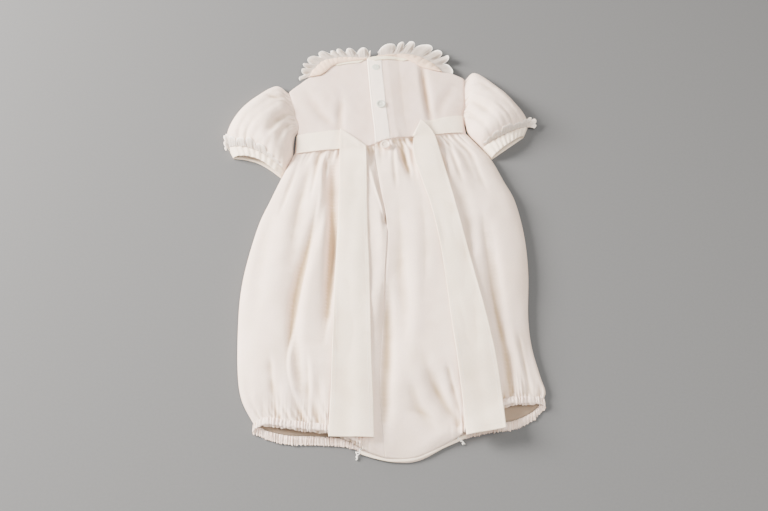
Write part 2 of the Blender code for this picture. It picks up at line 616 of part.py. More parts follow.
def build_leg_band(side, hem, span, home):
    """Gathered elastic band round a leg opening, open at the crotch."""
    start, corner = span
    out = math.copysign(1.0, corner - start)
    x = np.linspace(start, corner - 4 * out, 14)
    y = along(hem, 0, x) - 2 * SEAM
    z = np.maximum(skirt_dome(x, y + 1) - 0.5 * WALL, 2.4)
    upper = np.column_stack([x, y, z])
    turn = np.array([[corner + 0.6 * out, along(hem, 0, corner) - 5 * SEAM, 1.7]])
    x = np.linspace(corner - 4 * out, start, 14)
    y = along(HEM_FRONT, 0, x) - 2 * SEAM
    lower = np.column_stack([x, y, np.full(len(x), FLOOR_MID)])
    run = np.vstack([upper, turn, lower])
    length = float(np.sum(np.linalg.norm(np.diff(run, axis=0), axis=1)))
    pleats = int(length * LEG_PLEATS_PER_MM)
    t = np.linspace(0, 1, pleats * 3 + 1)
    sewn = spline(run, t)
    sewn[:, 2] = np.maximum(sewn[:, 2], FLOOR_MID)
    high = np.clip((sewn[:, 2] - 1.6) / 6, 0, 1)
    ripple = np.cos(2 * math.pi * pleats * t)
    grid = []
    for w in (0.0, 1.0):
        points = sewn.copy()
        points[:, 1] -= BAND_WIDTH * w * (1 - 0.1 * high)
        points[:, 2] += high * w * 1.6
        points[:, 2] += LEG_PLEAT_DEPTH * (0.5 + 0.5 * w) * np.where(high > 0.1, ripple, 1 + ripple)
        grid.append(points)
    sheet("leg_band_" + side, np.array(grid), "cotton", home, wall=1.0, offset=0.0)


def build_crotch(home):
    """The two lapped edges between the legs."""
    hem_back = HEM_BACK_LEFT + HEM_BACK_RIGHT[1:]
    x = np.linspace(CROTCH_SPAN[0], CROTCH_SPAN[1], 19)
    y = along(hem_back, 0, x) - 2 * SEAM
    z = skirt_dome(x, y + 1) - 0.5 * WALL
    rows = []
    for w in (0.0, 1.0):
        rows.append(np.column_stack([x, y - CROTCH_BACK * w, np.maximum(z - WALL * w, CROTCH_REST)]))
    sheet("crotch_back", np.array(rows), "cotton", home, offset=0.0)
    y = along(HEM_FRONT, 0, x) - 2 * SEAM
    rows = []
    for w in (0.0, 1.0):
        rows.append(np.column_stack([x, y - CROTCH_FRONT * w, np.full(len(x), FLOOR_MID)]))
    sheet("crotch_front", np.array(rows), "cotton", home, offset=0.0)


def build_buttons(home):
    """Three round buttons, each with a raised rim round a dished face."""
    for name, x, y, sunk in BUTTONS:
        probe = np.linspace(-BUTTON_RADIUS, BUTTON_RADIUS, 5)
        gx, gy = np.meshgrid(x + probe, y + probe)
        floor = float(np.max(back_height(gx, gy) + lap_lift(gx, gy))) + SEAM - sunk
        inner = BUTTON_RADIUS - BUTTON_ROUND
        dish = BUTTON_HEIGHT - BUTTON_DISH
        profile = ((0.0, 0.0), (inner, 0.0), (BUTTON_RADIUS, BUTTON_ROUND),
                   (BUTTON_RADIUS, BUTTON_HEIGHT - BUTTON_ROUND), (inner, BUTTON_HEIGHT),
                   (inner - BUTTON_RIM, BUTTON_HEIGHT), (inner - BUTTON_RIM - BUTTON_SLOPE, dish), (0.0, dish))
        turns = BUTTON_SIDES
        verts = [(0.0, 0.0, profile[0][1])]
        for r, z in profile[1:-1]:
            for k in range(turns):
                a = 2 * math.pi * k / turns
                verts.append((r * math.cos(a), r * math.sin(a), z))
        verts.append((0.0, 0.0, profile[-1][1]))
        place = np.array([x + SHIFT[0], y + SHIFT[1], floor])
        verts = [tuple((np.array(p) + place) * MM) for p in verts]
        faces = [(0, 1 + (k + 1) % turns, 1 + k) for k in range(turns)]
        for r in range(len(profile) - 3):
            low, high = 1 + r * turns, 1 + (r + 1) * turns
            for k in range(turns):
                n = (k + 1) % turns
                faces.append((low + k, low + n, high + n, high + k))
        last = 1 + (len(profile) - 3) * turns
        faces += [(len(verts) - 1, last + k, last + (k + 1) % turns) for k in range(turns)]
        mesh = bpy.data.meshes.new(name)
        mesh.from_pydata(verts, [], faces)
        mesh.update()
        keep(mesh, name, "button", home)


def main():
    for obj in list(bpy.data.objects):
        bpy.data.objects.remove(obj)
    home = bpy.data.collections.new(COLLECTION)
    bpy.context.scene.collection.children.link(home)
    build_bloomers(home)
    build_bodice(home)
    build_sleeve("left", SLEEVE_LEFT_ROWS, ARM_CURVE_LEFT, CUFF_LEFT_END, home)
    build_sleeve("right", SLEEVE_RIGHT_ROWS, ARM_CURVE_RIGHT, CUFF_RIGHT_END, home)
    build_collar("left", TOP_LEFT, COLLAR_LEFT_SPAN, COLLAR_LEFT_ROOT, RUFFLE_LEFT_EDGE, 0.6, home)
    build_collar("right", TOP_RIGHT, COLLAR_RIGHT_SPAN, COLLAR_RIGHT_ROOT, RUFFLE_RIGHT_EDGE, 2.2, home)
    build_sash("left", SASH_LEFT_ROWS, home)
    build_sash("right", SASH_RIGHT_ROWS, home)
    build_leg_band("left", HEM_BACK_LEFT, LEG_LEFT_SPAN, home)
    build_leg_band("right", HEM_BACK_RIGHT, LEG_RIGHT_SPAN, home)
    build_crotch(home)
    build_buttons(home)


main()
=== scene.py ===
# %% [markdown]
# # A baby romper laid flat
#
# The romper lies on its front on a sheet of grey paper, its back up and its collar away from us.
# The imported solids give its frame. Each solid is replaced here by a finer shell of cloth on the
# same outline and the same arch, with the gathers, puckers, hems and stitches of the real piece.

# %% Load the frame
import json
import math

import bpy
import numpy as np
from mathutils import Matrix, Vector

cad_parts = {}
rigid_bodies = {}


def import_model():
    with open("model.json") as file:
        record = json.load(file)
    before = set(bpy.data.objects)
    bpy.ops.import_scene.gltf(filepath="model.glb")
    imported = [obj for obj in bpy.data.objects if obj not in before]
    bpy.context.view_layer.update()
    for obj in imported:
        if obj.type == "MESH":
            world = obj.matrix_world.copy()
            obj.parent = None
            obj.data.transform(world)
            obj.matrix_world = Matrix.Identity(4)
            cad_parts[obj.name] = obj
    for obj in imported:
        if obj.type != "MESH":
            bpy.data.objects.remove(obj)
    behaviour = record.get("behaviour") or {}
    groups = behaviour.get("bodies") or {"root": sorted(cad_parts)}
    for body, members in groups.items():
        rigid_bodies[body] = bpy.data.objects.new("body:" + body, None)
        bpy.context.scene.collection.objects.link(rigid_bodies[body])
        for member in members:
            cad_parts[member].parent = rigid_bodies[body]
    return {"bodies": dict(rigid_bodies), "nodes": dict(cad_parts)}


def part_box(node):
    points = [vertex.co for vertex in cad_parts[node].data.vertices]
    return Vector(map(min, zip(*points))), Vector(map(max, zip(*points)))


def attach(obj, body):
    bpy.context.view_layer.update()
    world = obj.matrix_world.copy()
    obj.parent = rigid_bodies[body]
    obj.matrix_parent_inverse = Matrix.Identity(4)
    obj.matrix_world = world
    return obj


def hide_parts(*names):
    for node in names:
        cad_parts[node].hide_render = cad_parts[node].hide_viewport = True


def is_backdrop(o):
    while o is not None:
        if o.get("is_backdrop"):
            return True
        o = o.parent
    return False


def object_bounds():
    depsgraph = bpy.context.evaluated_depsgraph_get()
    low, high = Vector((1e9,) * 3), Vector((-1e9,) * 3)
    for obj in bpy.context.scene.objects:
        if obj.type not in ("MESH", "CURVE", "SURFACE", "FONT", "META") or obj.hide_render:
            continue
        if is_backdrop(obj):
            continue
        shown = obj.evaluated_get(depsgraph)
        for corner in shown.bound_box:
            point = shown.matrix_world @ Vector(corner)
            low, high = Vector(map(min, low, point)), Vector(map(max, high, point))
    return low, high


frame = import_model()
cad_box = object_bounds()
MM = 0.001
SHIFT = (1.8, -4.0)       # the same move to the middle as in the solids, mm
ROOT = list(frame["bodies"])[0]
print("nodes", len(frame["nodes"]), "body", ROOT, "box", cad_box)

# %% [markdown]
# ## Camera and light
#
# The photograph looks down at about 60 degrees from the crotch end. A large soft lamp stands low at
# the upper left, so shadows fall to the right and a little towards us. A weaker lamp overhead and a
# pale sky fill the folds.

# %% Camera and light
TARGET = Vector((6.7 * MM, -31.1 * MM, 0.0))
ELEVATION = math.radians(60.0)
DISTANCE = 1.10           # from the target to the camera, m
LENS = 49.5               # focal length on a sensor 36 mm wide, mm
SKY_STRENGTH = 0.41


def aim(obj, at):
    """Turns a camera or lamp so that it looks at a point."""
    obj.rotation_euler = (at - obj.location).to_track_quat('-Z', 'Y').to_euler()


camera = bpy.data.objects.new("camera", bpy.data.cameras.new("camera"))
bpy.context.collection.objects.link(camera)
camera.location = TARGET + DISTANCE * Vector((0, -math.cos(ELEVATION), math.sin(ELEVATION)))
aim(camera, TARGET)
camera.data.lens = LENS
camera.data.sensor_width = 36.0
camera.data.clip_start = 0.01
bpy.context.scene.camera = camera


def area_light(name, place, size, power, colour):
    """Square lamp that looks at the middle of the romper; place and size in metres, power in watts."""
    lamp = bpy.data.lights.new(name, 'AREA')
    lamp.size = size
    lamp.energy = power
    lamp.color = colour
    obj = bpy.data.objects.new(name, lamp)
    bpy.context.collection.objects.link(obj)
    obj.location = place
    aim(obj, Vector((0, 0, 0)))


area_light("key", place=(-1.7, 0.5, 0.85), size=0.8, power=238.0, colour=(1.0, 0.965, 0.93))
area_light("fill", place=(0.45, -0.6, 1.8), size=1.3, power=60.0, colour=(1.0, 0.98, 0.95))
world = bpy.data.worlds.new("studio")
bpy.context.scene.world = world
world.use_nodes = True
sky = world.node_tree.nodes["Background"].inputs
sky["Color"].default_value = (1.0, 0.985, 0.965, 1)
sky["Strength"].default_value = SKY_STRENGTH
print("camera", [round(c, 3) for c in camera.location])

# %% [markdown]
# ## Materials
#
# The romper is a fine ivory cotton, a little warmer where light passes through two layers. Deep in a
# fold a darker, warmer colour is painted in as shade; a fold attribute on each sheet carries how deep a
# point lies. The weave follows a map of the cloth in real metres. Buttons are cream with a pearly coat,
# thread is a shade lighter.

# %% Colours and nodes


def linear(hex_colour):
    """Linear colour of an sRGB hex code."""
    parts = [int(hex_colour[i:i + 2], 16) / 255 for i in (0, 2, 4)]
    return tuple(c / 12.92 if c <= 0.04045 else ((c + 0.055) / 1.055) ** 2.4 for c in parts) + (1.0,)


def fill(tree, made, inputs):
    """Gives a node's inputs their values, or a link where the value is another node's socket."""
    for key, value in inputs.items():
        if hasattr(value, "is_output"):
            tree.links.new(value, made.inputs[key])
        else:
            made.inputs[key].default_value = value


def node(tree, kind, inputs, output=0, **settings):
    """Adds a node with its settings and inputs, and gives back one of its output sockets."""
    made = tree.nodes.new(kind)
    for key, value in settings.items():
        setattr(made, key, value)
    fill(tree, made, inputs)
    return made.outputs[output]


def new_material(name, colour):
    """Material with its node tree and its shader; colour is what a plain view of it shows."""
    mat = bpy.data.materials.new(name)
    mat.use_nodes = True
    mat.diffuse_color = linear(colour)
    return mat, mat.node_tree, mat.node_tree.nodes["Principled BSDF"]


print("ivory in linear light", [round(c, 3) for c in linear("fbdfcd")])

# %% [markdown]
# ## Cotton
#
# A plain weave of fine thread, washed and not pressed: matt, with a soft sheen of loose fibres. Two
# crossed waves draw warp and weft, drawn coarser than a real lawn so that they show. A fine noise
# gives the slubs of the thread and a broad one the uneven tone of handled cloth.

# %% Cotton
WAVE_STEP = 0.314         # a wave texture of scale 1 repeats after this length
SLUBS = 520.0             # per metre: thick places in the thread, about 2 mm apart
CLOUDS = 22.0             # per metre: uneven tone, about 45 mm across


def cotton(name, light, tone_and_shade, weave=0.45, relief=0.10, glow=0.14, doubled="ffecda"):
    """Plain woven cotton from three hex colours: the light tone; a darker one for the uneven tone of
    the cloth and for the shade painted into folds; and one for where more layers lie, also taken for the
    highlight painted on frill rims. weave and relief are mm, and glow is the share of light that passes
    under the surface."""
    mat, tree, shader = new_material(name, light)
    uv = node(tree, "ShaderNodeUVMap", {}, uv_map="cloth")
    wave = {"Vector": uv, "Scale": WAVE_STEP / (weave * MM), "Distortion": 1.2, "Detail": 1.0}
    warp = node(tree, "ShaderNodeTexWave", wave, "Fac", bands_direction='X')
    weft = node(tree, "ShaderNodeTexWave", wave, "Fac", bands_direction='Y')
    slub = node(tree, "ShaderNodeTexNoise",
                {"Vector": uv, "Scale": SLUBS, "Detail": 4.0, "Roughness": 0.6}, "Fac")
    cloud = node(tree, "ShaderNodeTexNoise", {"Vector": uv, "Scale": CLOUDS, "Detail": 2.0}, "Fac")
    # fold and layers are attributes of each sheet: fold sets the painted shade in folds, layers lightens
    # doubled cloth and also paints a highlight on frill rims
    fold = node(tree, "ShaderNodeAttribute", {}, "Fac", attribute_name="fold")
    layers_and_highlight = node(tree, "ShaderNodeAttribute", {}, "Fac", attribute_name="layers_and_highlight")
    # painted shade: the deeper a point lies in a fold, the more of the darker colour is mixed in
    deep = node(tree, "ShaderNodeMath", {0: fold, 1: 0.9}, operation='MULTIPLY')
    mottle = node(tree, "ShaderNodeMapRange",
                  {"Value": cloud, "From Min": 0.3, "From Max": 0.75, "To Max": 0.22})
    streak = node(tree, "ShaderNodeMapRange",
                  {"Value": slub, "From Min": 0.35, "From Max": 0.8, "To Max": 0.16})
    base = linear(light)
    for share, colour in ((mottle, tone_and_shade), (streak, tone_and_shade), (deep, tone_and_shade), (layers_and_highlight, doubled)):
        base = node(tree, "ShaderNodeMix", {0: share, 6: base, 7: linear(colour)}, 2, data_type='RGBA')
    woven = node(tree, "ShaderNodeMath", {0: warp, 1: weft}, operation='ADD')
    rough = node(tree, "ShaderNodeMath", {0: slub, 1: 2.4}, operation='MULTIPLY')
    height = node(tree, "ShaderNodeMath", {0: woven, 1: rough}, operation='ADD')
    bump = node(tree, "ShaderNodeBump", {"Height": height, "Strength": 0.55, "Distance": relief * MM})
    fill(tree, shader, {"Base Color": base, "Normal": bump, "Roughness": 0.88, "Sheen Weight": 0.22,
                        "Sheen Roughness": 0.45, "Sheen Tint": linear("fff6ea"),
                        "Subsurface Weight": glow, "Subsurface Radius": (1.0, 0.72, 0.45),
                        "Subsurface Scale": 0.004})
    return mat


# one cloth in the tones that its parts take: sashes and collar lie double and look warmer; frills are
# thin and let the grey paper through, and are painted greyer for the shade inside their loops; the
# insides are painted dark for the shade they lie in
body_cotton = cotton("ivory_cotton", "fbdfcd", "b49873")
bodice_cotton = cotton("bodice_cotton", "e6cbbd", "b8926c")
sash_cotton = cotton("sash_cotton", "ffead2", "c4a07c", glow=0.12)
frill_cotton = cotton("frill_cotton", "b9a99c", "84705f", weave=0.4, glow=0.2)
shaded_inner_cotton = cotton("shaded_inner_cotton", "9e8b78", "755d44")
band_cotton = cotton("band_cotton", "f6dccc", "a88464")
collar_cotton = cotton("collar_cotton", "f1ceb2", "b08a68")
facing_cotton = cotton("facing_cotton", "f4e4c4", "cfae78")
print("cottons", len(bpy.data.materials))

# %% [markdown]
# ## Thread, buttons and paper
#
# Polyester thread is smooth and a little lighter than the cloth. The buttons are moulded and tumbled,
# so a clear coat over a cream body gives their small highlights. The paper under them is matt.

# %% Thread, buttons and paper


def plain(name, colour, roughness, coat=0.0):
    """Thread, button or paper with a faint mottle, about 2 mm across, from Object coordinates."""
    mat, tree, shader = new_material(name, colour)
    place = node(tree, "ShaderNodeTexCoord", {}, "Object")
    cloud = node(tree, "ShaderNodeTexNoise", {"Vector": place, "Scale": 420.0, "Detail": 3.0}, "Fac")
    low = tuple(c * 0.88 for c in linear(colour)[:3]) + (1.0,)
    base = node(tree, "ShaderNodeMix", {0: cloud, 6: low, 7: linear(colour)}, 2, data_type='RGBA')
    fill(tree, shader, {"Base Color": base, "Roughness": roughness, "Coat Weight": coat,
                        "Coat Roughness": 0.12})
    return mat


thread = plain("thread", "f8f3ea", 0.7)
pearl = plain("pearl_button", "cfcebf", 0.28, coat=0.7)
cream_button = plain("cream_button", "f0d9c4", 0.35, coat=0.5)
paper = plain("grey_paper", "5d5d5d", 0.95)
print("materials", len(bpy.data.materials))

# %% [markdown]
# ## Floor
#
# A plain sheet of grey paper, as in the photograph. It lies 0.2 mm under the cloth, so that no two
# faces meet.

# %% Floor
bpy.ops.mesh.primitive_plane_add(size=6.0, location=(0, 0, -0.0002))
floor = bpy.context.object
floor.name = "paper_floor"
floor.data.materials.append(paper)
floor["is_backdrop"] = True
print("floor at", floor.location.z)

# %% [markdown]
# ## Measures of the romper
#
# Outlines, folds and rows are those of the solids, in millimetres. Left and right are as seen from
# the crotch end, x runs to the right and y towards the collar.

# %% Measures of the romper
WALL = 1.2                # wall of the solids
SEAM = 0.3                # gap between two solids that are sewn together
FLOOR_MID = 0.6           # height of the middle of a wall that lies on the paper
SIDE_EDGE = 2.6           # height of the back at the side seams
ARM_EDGE = 5.0            # height of the back at the armholes
CLOTH = 0.7               # thickness of the cloth shells
SIDE_LEFT = ((-93.5, 99.5), (-105.7, 68.5), (-117, 37.5), (-127.2, 8), (-136.2, -35), (-140.8, -72),
             (-141, -111), (-138, -160), (-132, -190), (-119, -213))
SIDE_RIGHT = ((96, 127), (111, 107.5), (122.4, 91.5), (134.5, 63), (145, 37), (152, -5), (153.3, -50),
              (149.8, -100), (151, -133), (157, -164), (161, -180), (159, -187))
WAIST = ((-93.5, 99.5), (-68, 101), (-42, 102.5), (-14, 105), (10, 113), (36, 118), (59, 121.5), (96, 127))
ARM_LEFT = ((-103, 184), (-97, 163), (-94, 149), (-90, 136), (-92, 122), (-93.5, 100))
ARM_RIGHT = ((97, 203), (96, 183), (96, 165), (93, 151), (95, 137), (96, 127.5))
TOP_LEFT = ((-103, 184), (-90, 195.5), (-79, 204), (-67, 207), (-61, 214), (-56, 221), (-48, 226),
            (-36, 228.5), (-15, 230.5), (11, 232))
TOP_RIGHT = ((-15, 230.5), (-4, 233), (10, 235), (22, 235), (36, 230), (43, 225), (54, 218), (69, 212.5),
             (83, 209.5), (97, 203))
LAP_EDGE = ((-15, 230.5), (-12, 191), (-9, 155), (-6, 127), (-5, 106.5))
UNDER_EDGE = ((11, 232), (12, 200), (13, 160), (15, 130), (16, 114.5))
SLIT = ((-5, 106.5), (-4, 84), (1, 45), (8, 0), (6, -60), (5, -95), (2, -144), (1, -190), (6, -236.5))
HEM_BACK_LEFT = ((-119, -213), (-108, -209), (-90, -211.5), (-68, -215), (-46, -217.5), (-28, -224),
                 (-14, -231), (6, -236.5))
HEM_BACK_RIGHT = ((6, -236.5), (20, -237.5), (32, -236.5), (44, -232.5), (62, -223.5), (79, -215.5),
                  (100, -203.5), (122, -190), (142, -187.5), (159, -187))
HEM_BACK = HEM_BACK_LEFT + HEM_BACK_RIGHT[1:]
HEM_FRONT = ((-119, -213), (-106, -219.5), (-85, -224.5), (-61, -225), (-31, -227), (-14, -233),
             (6, -240.8), (20, -242.6), (32, -242), (44, -238), (62, -228), (79, -220), (102, -213.5),
             (128, -209.5), (148, -200), (159, -187))
NECK_FRONT = ((-103, 184), (-80, 200), (-62, 196), (-36, 184), (-5, 180), (30, 188), (54, 204), (73, 210.5),
              (97, 203))
SKIRT_ARCH = ((0.0, 10.5), (0.05, 14.5), (0.14, 19.0), (0.35, 21.5), (0.6, 21.5), (0.82, 19.5),
              (0.93, 15.5), (1.0, 12.0))
BODICE_ARCH = ((0.0, 6.4), (0.35, 8.6), (0.75, 10.0), (1.0, 10.5))
LAP_LIFT = 1.9            # how far the right back lies over the left one
LAP_REACH = 16.0          # width of the lap
NECK_TOP = 232            # highest y of the back's neck edge
SLIT_TOP = 106.5          # y where the slit starts, under the waist
SLIT_FOOT = 5.0           # y where it ends
SLIT_DROP = 1.4           # how far its left edge is pressed down
# main folds: three points on the path, width, depth, lean to the left side
SKIRT_FOLDS = (
    (-60, 34, -86, -95, -74, -208, 7.0, -5.0, -2.2),
    (-51, 88, -49, -10, -50, -100, 6.0, -6.5, 0.0),
    (-76, 92, -84, 0, -92, -100, 9.0, -3.2, 0.0),
    (5, -70, 6, -140, 2, -222, 8.0, -5.5, -1.5),
    (22, 112, 25, 88, 31, 62, 4.5, -2.5, -1.6),
    (21, -40, 24, -90, 22, -140, 9.0, -2.6, 0.0),
    (38, 20, 38, -60, 33, -150, 9.0, 1.6, 0.0),
    (86, 40, 92, 0, 88, -50, 8.0, -2.6, 0.0),
    (112, -5, 118, -95, 125, -196, 7.0, -4.2, -1.8),
    (128, -140, 130, -170, 133, -196, 5.5, -2.6, 0.0),
    (144, -130, 147, -168, 151, -196, 5.5, -2.4, 0.0),
    (78, -222, 62, -195, 48, -160, 7.0, -2.4, 0.0),
    (58, -228, 40, -205, 30, -175, 6.0, -1.8, 0.0),
    (-98, -172, -97, -190, -96, -210, 6.0, -2.0, 0.0),
    (-58, -176, -60, -195, -60, -214, 6.0, -1.8, 0.0),
    (-112, 30, -122, -40, -124, -110, 9.0, -2.2, 0.0),
    (66, 112, 68, 90, 72, 55, 5.0, -2.0, 0.0),
    (84, 118, 92, 95, 104, 60, 6.0, -2.0, 0.0),
)
BODICE_FOLDS = (
    (47, 222, 50, 184, 55, 140, 5.0, -2.2, -1.6),
    (-43, 170, -44, 148, -43, 128, 5.0, -1.8, 0.0),
    (-82, 178, -66, 152, -44, 128, 7.0, -1.6, 0.0),
    (84, 190, 72, 168, 66, 146, 7.0, -1.4, 0.0),
)
print("folds of the bloomers", len(SKIRT_FOLDS), "and of the bodice", len(BODICE_FOLDS))

# %% [markdown]
# ## Curves and panels
#
# Each helper works on whole grids of points. A smooth run goes through the rows of a table, and a
# panel is filled between the four runs of its edges, as a pattern piece is.

# %% Curves and panels


def smooth_rows(rows, place):
    """Smooth values between the rows of a table, place counted in rows."""
    rows = np.array(rows, dtype=float)
    padded = np.vstack([2 * rows[0] - rows[1], rows, 2 * rows[-1] - rows[-2]])
    i = np.minimum(place.astype(int), len(rows) - 2)
    a = (place - i)[..., None]
    p0, p1, p2, p3 = padded[i], padded[i + 1], padded[i + 2], padded[i + 3]
    return 0.5 * (2 * p1 + (p2 - p0) * a + (2 * p0 - 5 * p1 + 4 * p2 - p3) * a * a
                  + (3 * p1 - p0 - 3 * p2 + p3) * a ** 3)


def spline(points, t):
    """Points on a smooth run through the rows, t from 0 to 1 along its length."""
    fine = smooth_rows(points, np.linspace(0, len(points) - 1, 24 * (len(points) - 1) + 1))
    length = np.concatenate([[0], np.cumsum(np.linalg.norm(np.diff(fine, axis=0), axis=1))])
    share = np.clip(np.asarray(t, dtype=float), 0, 1) * length[-1]
    return np.stack([np.interp(share, length, fine[:, k]) for k in range(fine.shape[1])], axis=-1)


def row_values(rows, t):
    """Smooth values of a table at t from 0 to 1, its rows evenly spaced."""
    return smooth_rows(rows, np.clip(np.asarray(t, dtype=float), 0, 1) * (len(rows) - 1))


def along(curve, key, value, of=1):
    """Other coordinate of a curve where its key coordinate has a value."""
    fine = spline(curve, np.linspace(0, 1, 400))
    order = np.argsort(fine[:, key])
    return np.interp(value, fine[order, key], fine[order, of])


def patch(left, right, top, bottom, u, v):
    """x, y inside four edge curves; u runs from left to right and v from top to bottom."""
    u, v = u[..., None], v[..., None]
    lf, rt = spline(left, v[..., 0]), spline(right, v[..., 0])
    tp, bt = spline(top, u[..., 0]), spline(bottom, u[..., 0])
    corner = ((1 - u) * (1 - v) * np.array(left[0]) + u * (1 - v) * np.array(right[0])
              + (1 - u) * v * np.array(left[-1]) + u * v * np.array(right[-1]))
    return (1 - u) * lf + u * rt + (1 - v) * tp + v * bt - corner


def heading(path):
    """Unit direction of a path at each of its points."""
    ahead = np.gradient(path, axis=0)
    return ahead / np.linalg.norm(ahead, axis=1)[:, None]


print("left side is", round(float(along(SIDE_LEFT, 1, 0.0, 0)), 1), "mm from the middle")

# %% [markdown]
# ## Folds, gathers and swell
#
# A fold is a soft trough or ridge along a path. Gathers are dozens of small creases that start at a
# sewn edge and die out, each with its own width, depth and length. Their sizes come from a fixed
# rule for each count, so that every run makes the same cloth.

# %% Folds, gathers and swell


def beside(x, y, path):
    """Nearest point of a path, and how far x, y lie to its left and ahead of it."""
    ahead = heading(path)
    dx, dy = x[..., None] - path[:, 0], y[..., None] - path[:, 1]
    near = np.argmin(dx * dx + dy * dy, axis=-1)
    ex = np.take_along_axis(dx, near[..., None], -1)[..., 0]
    ey = np.take_along_axis(dy, near[..., None], -1)[..., 0]
    tx, ty = ahead[near, 0], ahead[near, 1]
    return near, tx * ey - ty * ex, tx * ex + ty * ey


def creases(x, y, folds):
    """Height that the folds add at x, y."""
    total = np.zeros_like(x)
    t = np.linspace(0, 1, 41)
    for x0, y0, x1, y1, x2, y2, width, depth, lean in folds:
        near, aside, ahead = beside(x, y, spline(((x0, y0), (x1, y1), (x2, y2)), t))
        side = aside / width
        past = ahead / (2 * width)
        taper = np.sin(math.pi * np.clip(0.04 + 0.92 * t[near], 0, 1)) ** 0.5
        bell = np.exp(-side * side - past * past)
        total += taper * bell * (depth + 1.6 * lean * side)
    return total


def chance(k, seed):
    """Fixed number from 0 to 1 for a count and a seed."""
    value = math.sin(12.9898 * (k + 1) + 78.233 * seed) * 43758.5453
    return value - math.floor(value)


def gathers(s, far, count, depth, reach, seed, width=0.3):
    """Small creases that start at a sewn edge: s is the share along it, far the distance from it."""
    total = np.zeros_like(s)
    for k in range(count):
        a, b, c = chance(k, seed), chance(k, seed + 1), chance(k, seed + 2)
        centre = (k + 0.5 + 0.6 * (a - 0.5)) / count
        broad = width / count * (0.7 + 0.7 * b) * (1 + far / (1.6 * reach))
        fall = np.exp(-(far / (reach * (0.45 + 1.4 * c))) ** 1.4)
        total -= depth * (0.5 + 0.9 * b) * fall * np.exp(-((s - centre) / broad) ** 2)
    return total


def unevenness(x, y, size, seed):
    """Soft swell between about -1 and 1, size in mm."""
    total = np.zeros_like(x)
    for k in range(6):
        a = 2.399963 * (k + 1) + 1.37 * seed
        f = 2 * math.pi / size * (0.6 + 0.22 * k)
        bend = 0.9 * np.sin(0.45 * f * (x * math.sin(a) - y * math.cos(a)) + k + seed)
        total += np.sin(f * (x * math.cos(a) + y * math.sin(a)) + 2.1 * seed + 1.7 * k + bend) / (1 + 0.4 * k)
    return total / 2.2


def arch(s, sharp=2.6):
    """Rounded profile across a panel, s from 0 to 1."""
    return np.clip(1 - np.abs(2 * s - 1) ** sharp, 0, 1) ** 0.46


print("chance of 0 to 3", [round(chance(k, 1), 2) for k in range(4)])

# %% [markdown]
# ## Crisp folds
#
# Where the gathered cloth doubles over, a fold has a steep side and a low ridge beside it. Each is a
# path with its own widths, depth and ridge, so that it can be laid where the real one lies.

# %% Crisp folds
# crisp folds: points on the path, width to its left and to its right, depth, ridge, reach of the ridge
CRISP_FOLDS = (
    (((-65, 34), (-68, 14), (-74, -32), (-82, -90), (-87, -123), (-90, -155), (-85, -181), (-76, -203)),
     13.0, 2.4, 2.7, 1.5, 12.0),
    (((-44, 90), (-43, 43), (-45.5, -31), (-49.5, -89), (-54, -133)), 9.0, 3.5, 3.8, 0.0, 6.0),
    (((-62, 84), (-62, 41), (-65, 5)), 4.0, 4.0, -1.3, 0.0, 6.0),
    (((-76, 92), (-79, 60), (-86, 20), (-90, -20)), 6.0, 4.0, 1.6, 0.3, 8.0),
    (((-5, 70), (0, 15), (3, -32), (1, -90), (-4, -123)), 7.0, 6.0, -1.9, 0.0, 6.0),
    (((12, -30), (5, -80), (4, -130), (9, -190)), 6.5, 4.0, -0.7, 0.0, 6.0),
    (((26, 110), (26, 96), (33, 62)), 2.6, 2.6, 2.2, 0.5, 5.0),
    (((108, 16), (109, -17), (115, -90), (125, -144), (129, -179)), 5.0, 3.0, 1.7, 0.8, 7.0),
    (((60, 30), (70, -40), (79, -110), (89, -180)), 4.0, 3.2, 2.6, 0.0, 6.0),
    (((138, -125), (141, -150), (147, -192)), 3.2, 2.0, 2.0, 0.5, 4.0),
    (((-106, -150), (-103, -175), (-98, -205)), 4.0, 2.6, 1.8, 0.5, 5.0),
    (((-70, -150), (-68, -178), (-68, -208)), 3.4, 2.2, 1.6, 0.4, 4.5),
    (((76, -216), (64, -198), (52, -178), (46, -160)), 4.0, 4.6, 1.1, 0.6, 9.0),
    (((74, -222), (58, -213), (40, -205), (26, -203)), 4.0, 4.4, 1.2, 0.4, 8.0),
    (((78, -206), (72, -186), (66, -160)), 2.6, 2.6, 1.8, 0.4, 5.0),
    (((44, 40), (47, -30), (44, -90)), 7.0, 4.0, 0.9, 0.2, 8.0),
    (((20, 30), (22, -30), (21, -90)), 6.0, 5.0, 1.1, 0.0, 8.0),
)
CASING, CROTCH_DROP = 8.6, 11.6    # cloth below the sewn hem line at the legs and the crotch, mm
WAIST_FOLDS = (
    (-84, 96, -92, 66, -104, 20, 3.0, -1.5, 0.5),
    (-66, 98, -68, 72, -72, 40, 2.6, -1.6, 0.6),
    (-58, 99, -58, 78, -58, 50, 2.4, -1.8, 0.0),
    (-4, 96, -3, 70, 2, 30, 2.4, -1.0, 0.0),
    (16, 108, 16, 84, 18, 50, 2.6, -1.4, 0.5),
    (34, 112, 35, 92, 38, 60, 2.8, -1.6, -0.5),
    (62, 112, 66, 96, 72, 70, 2.8, -1.6, 0.6),
    (75, 118, 80, 94, 88, 60, 3.0, -1.8, 0.6),
    (90, 120, 100, 92, 112, 50, 3.6, -1.6, 0.0),
)


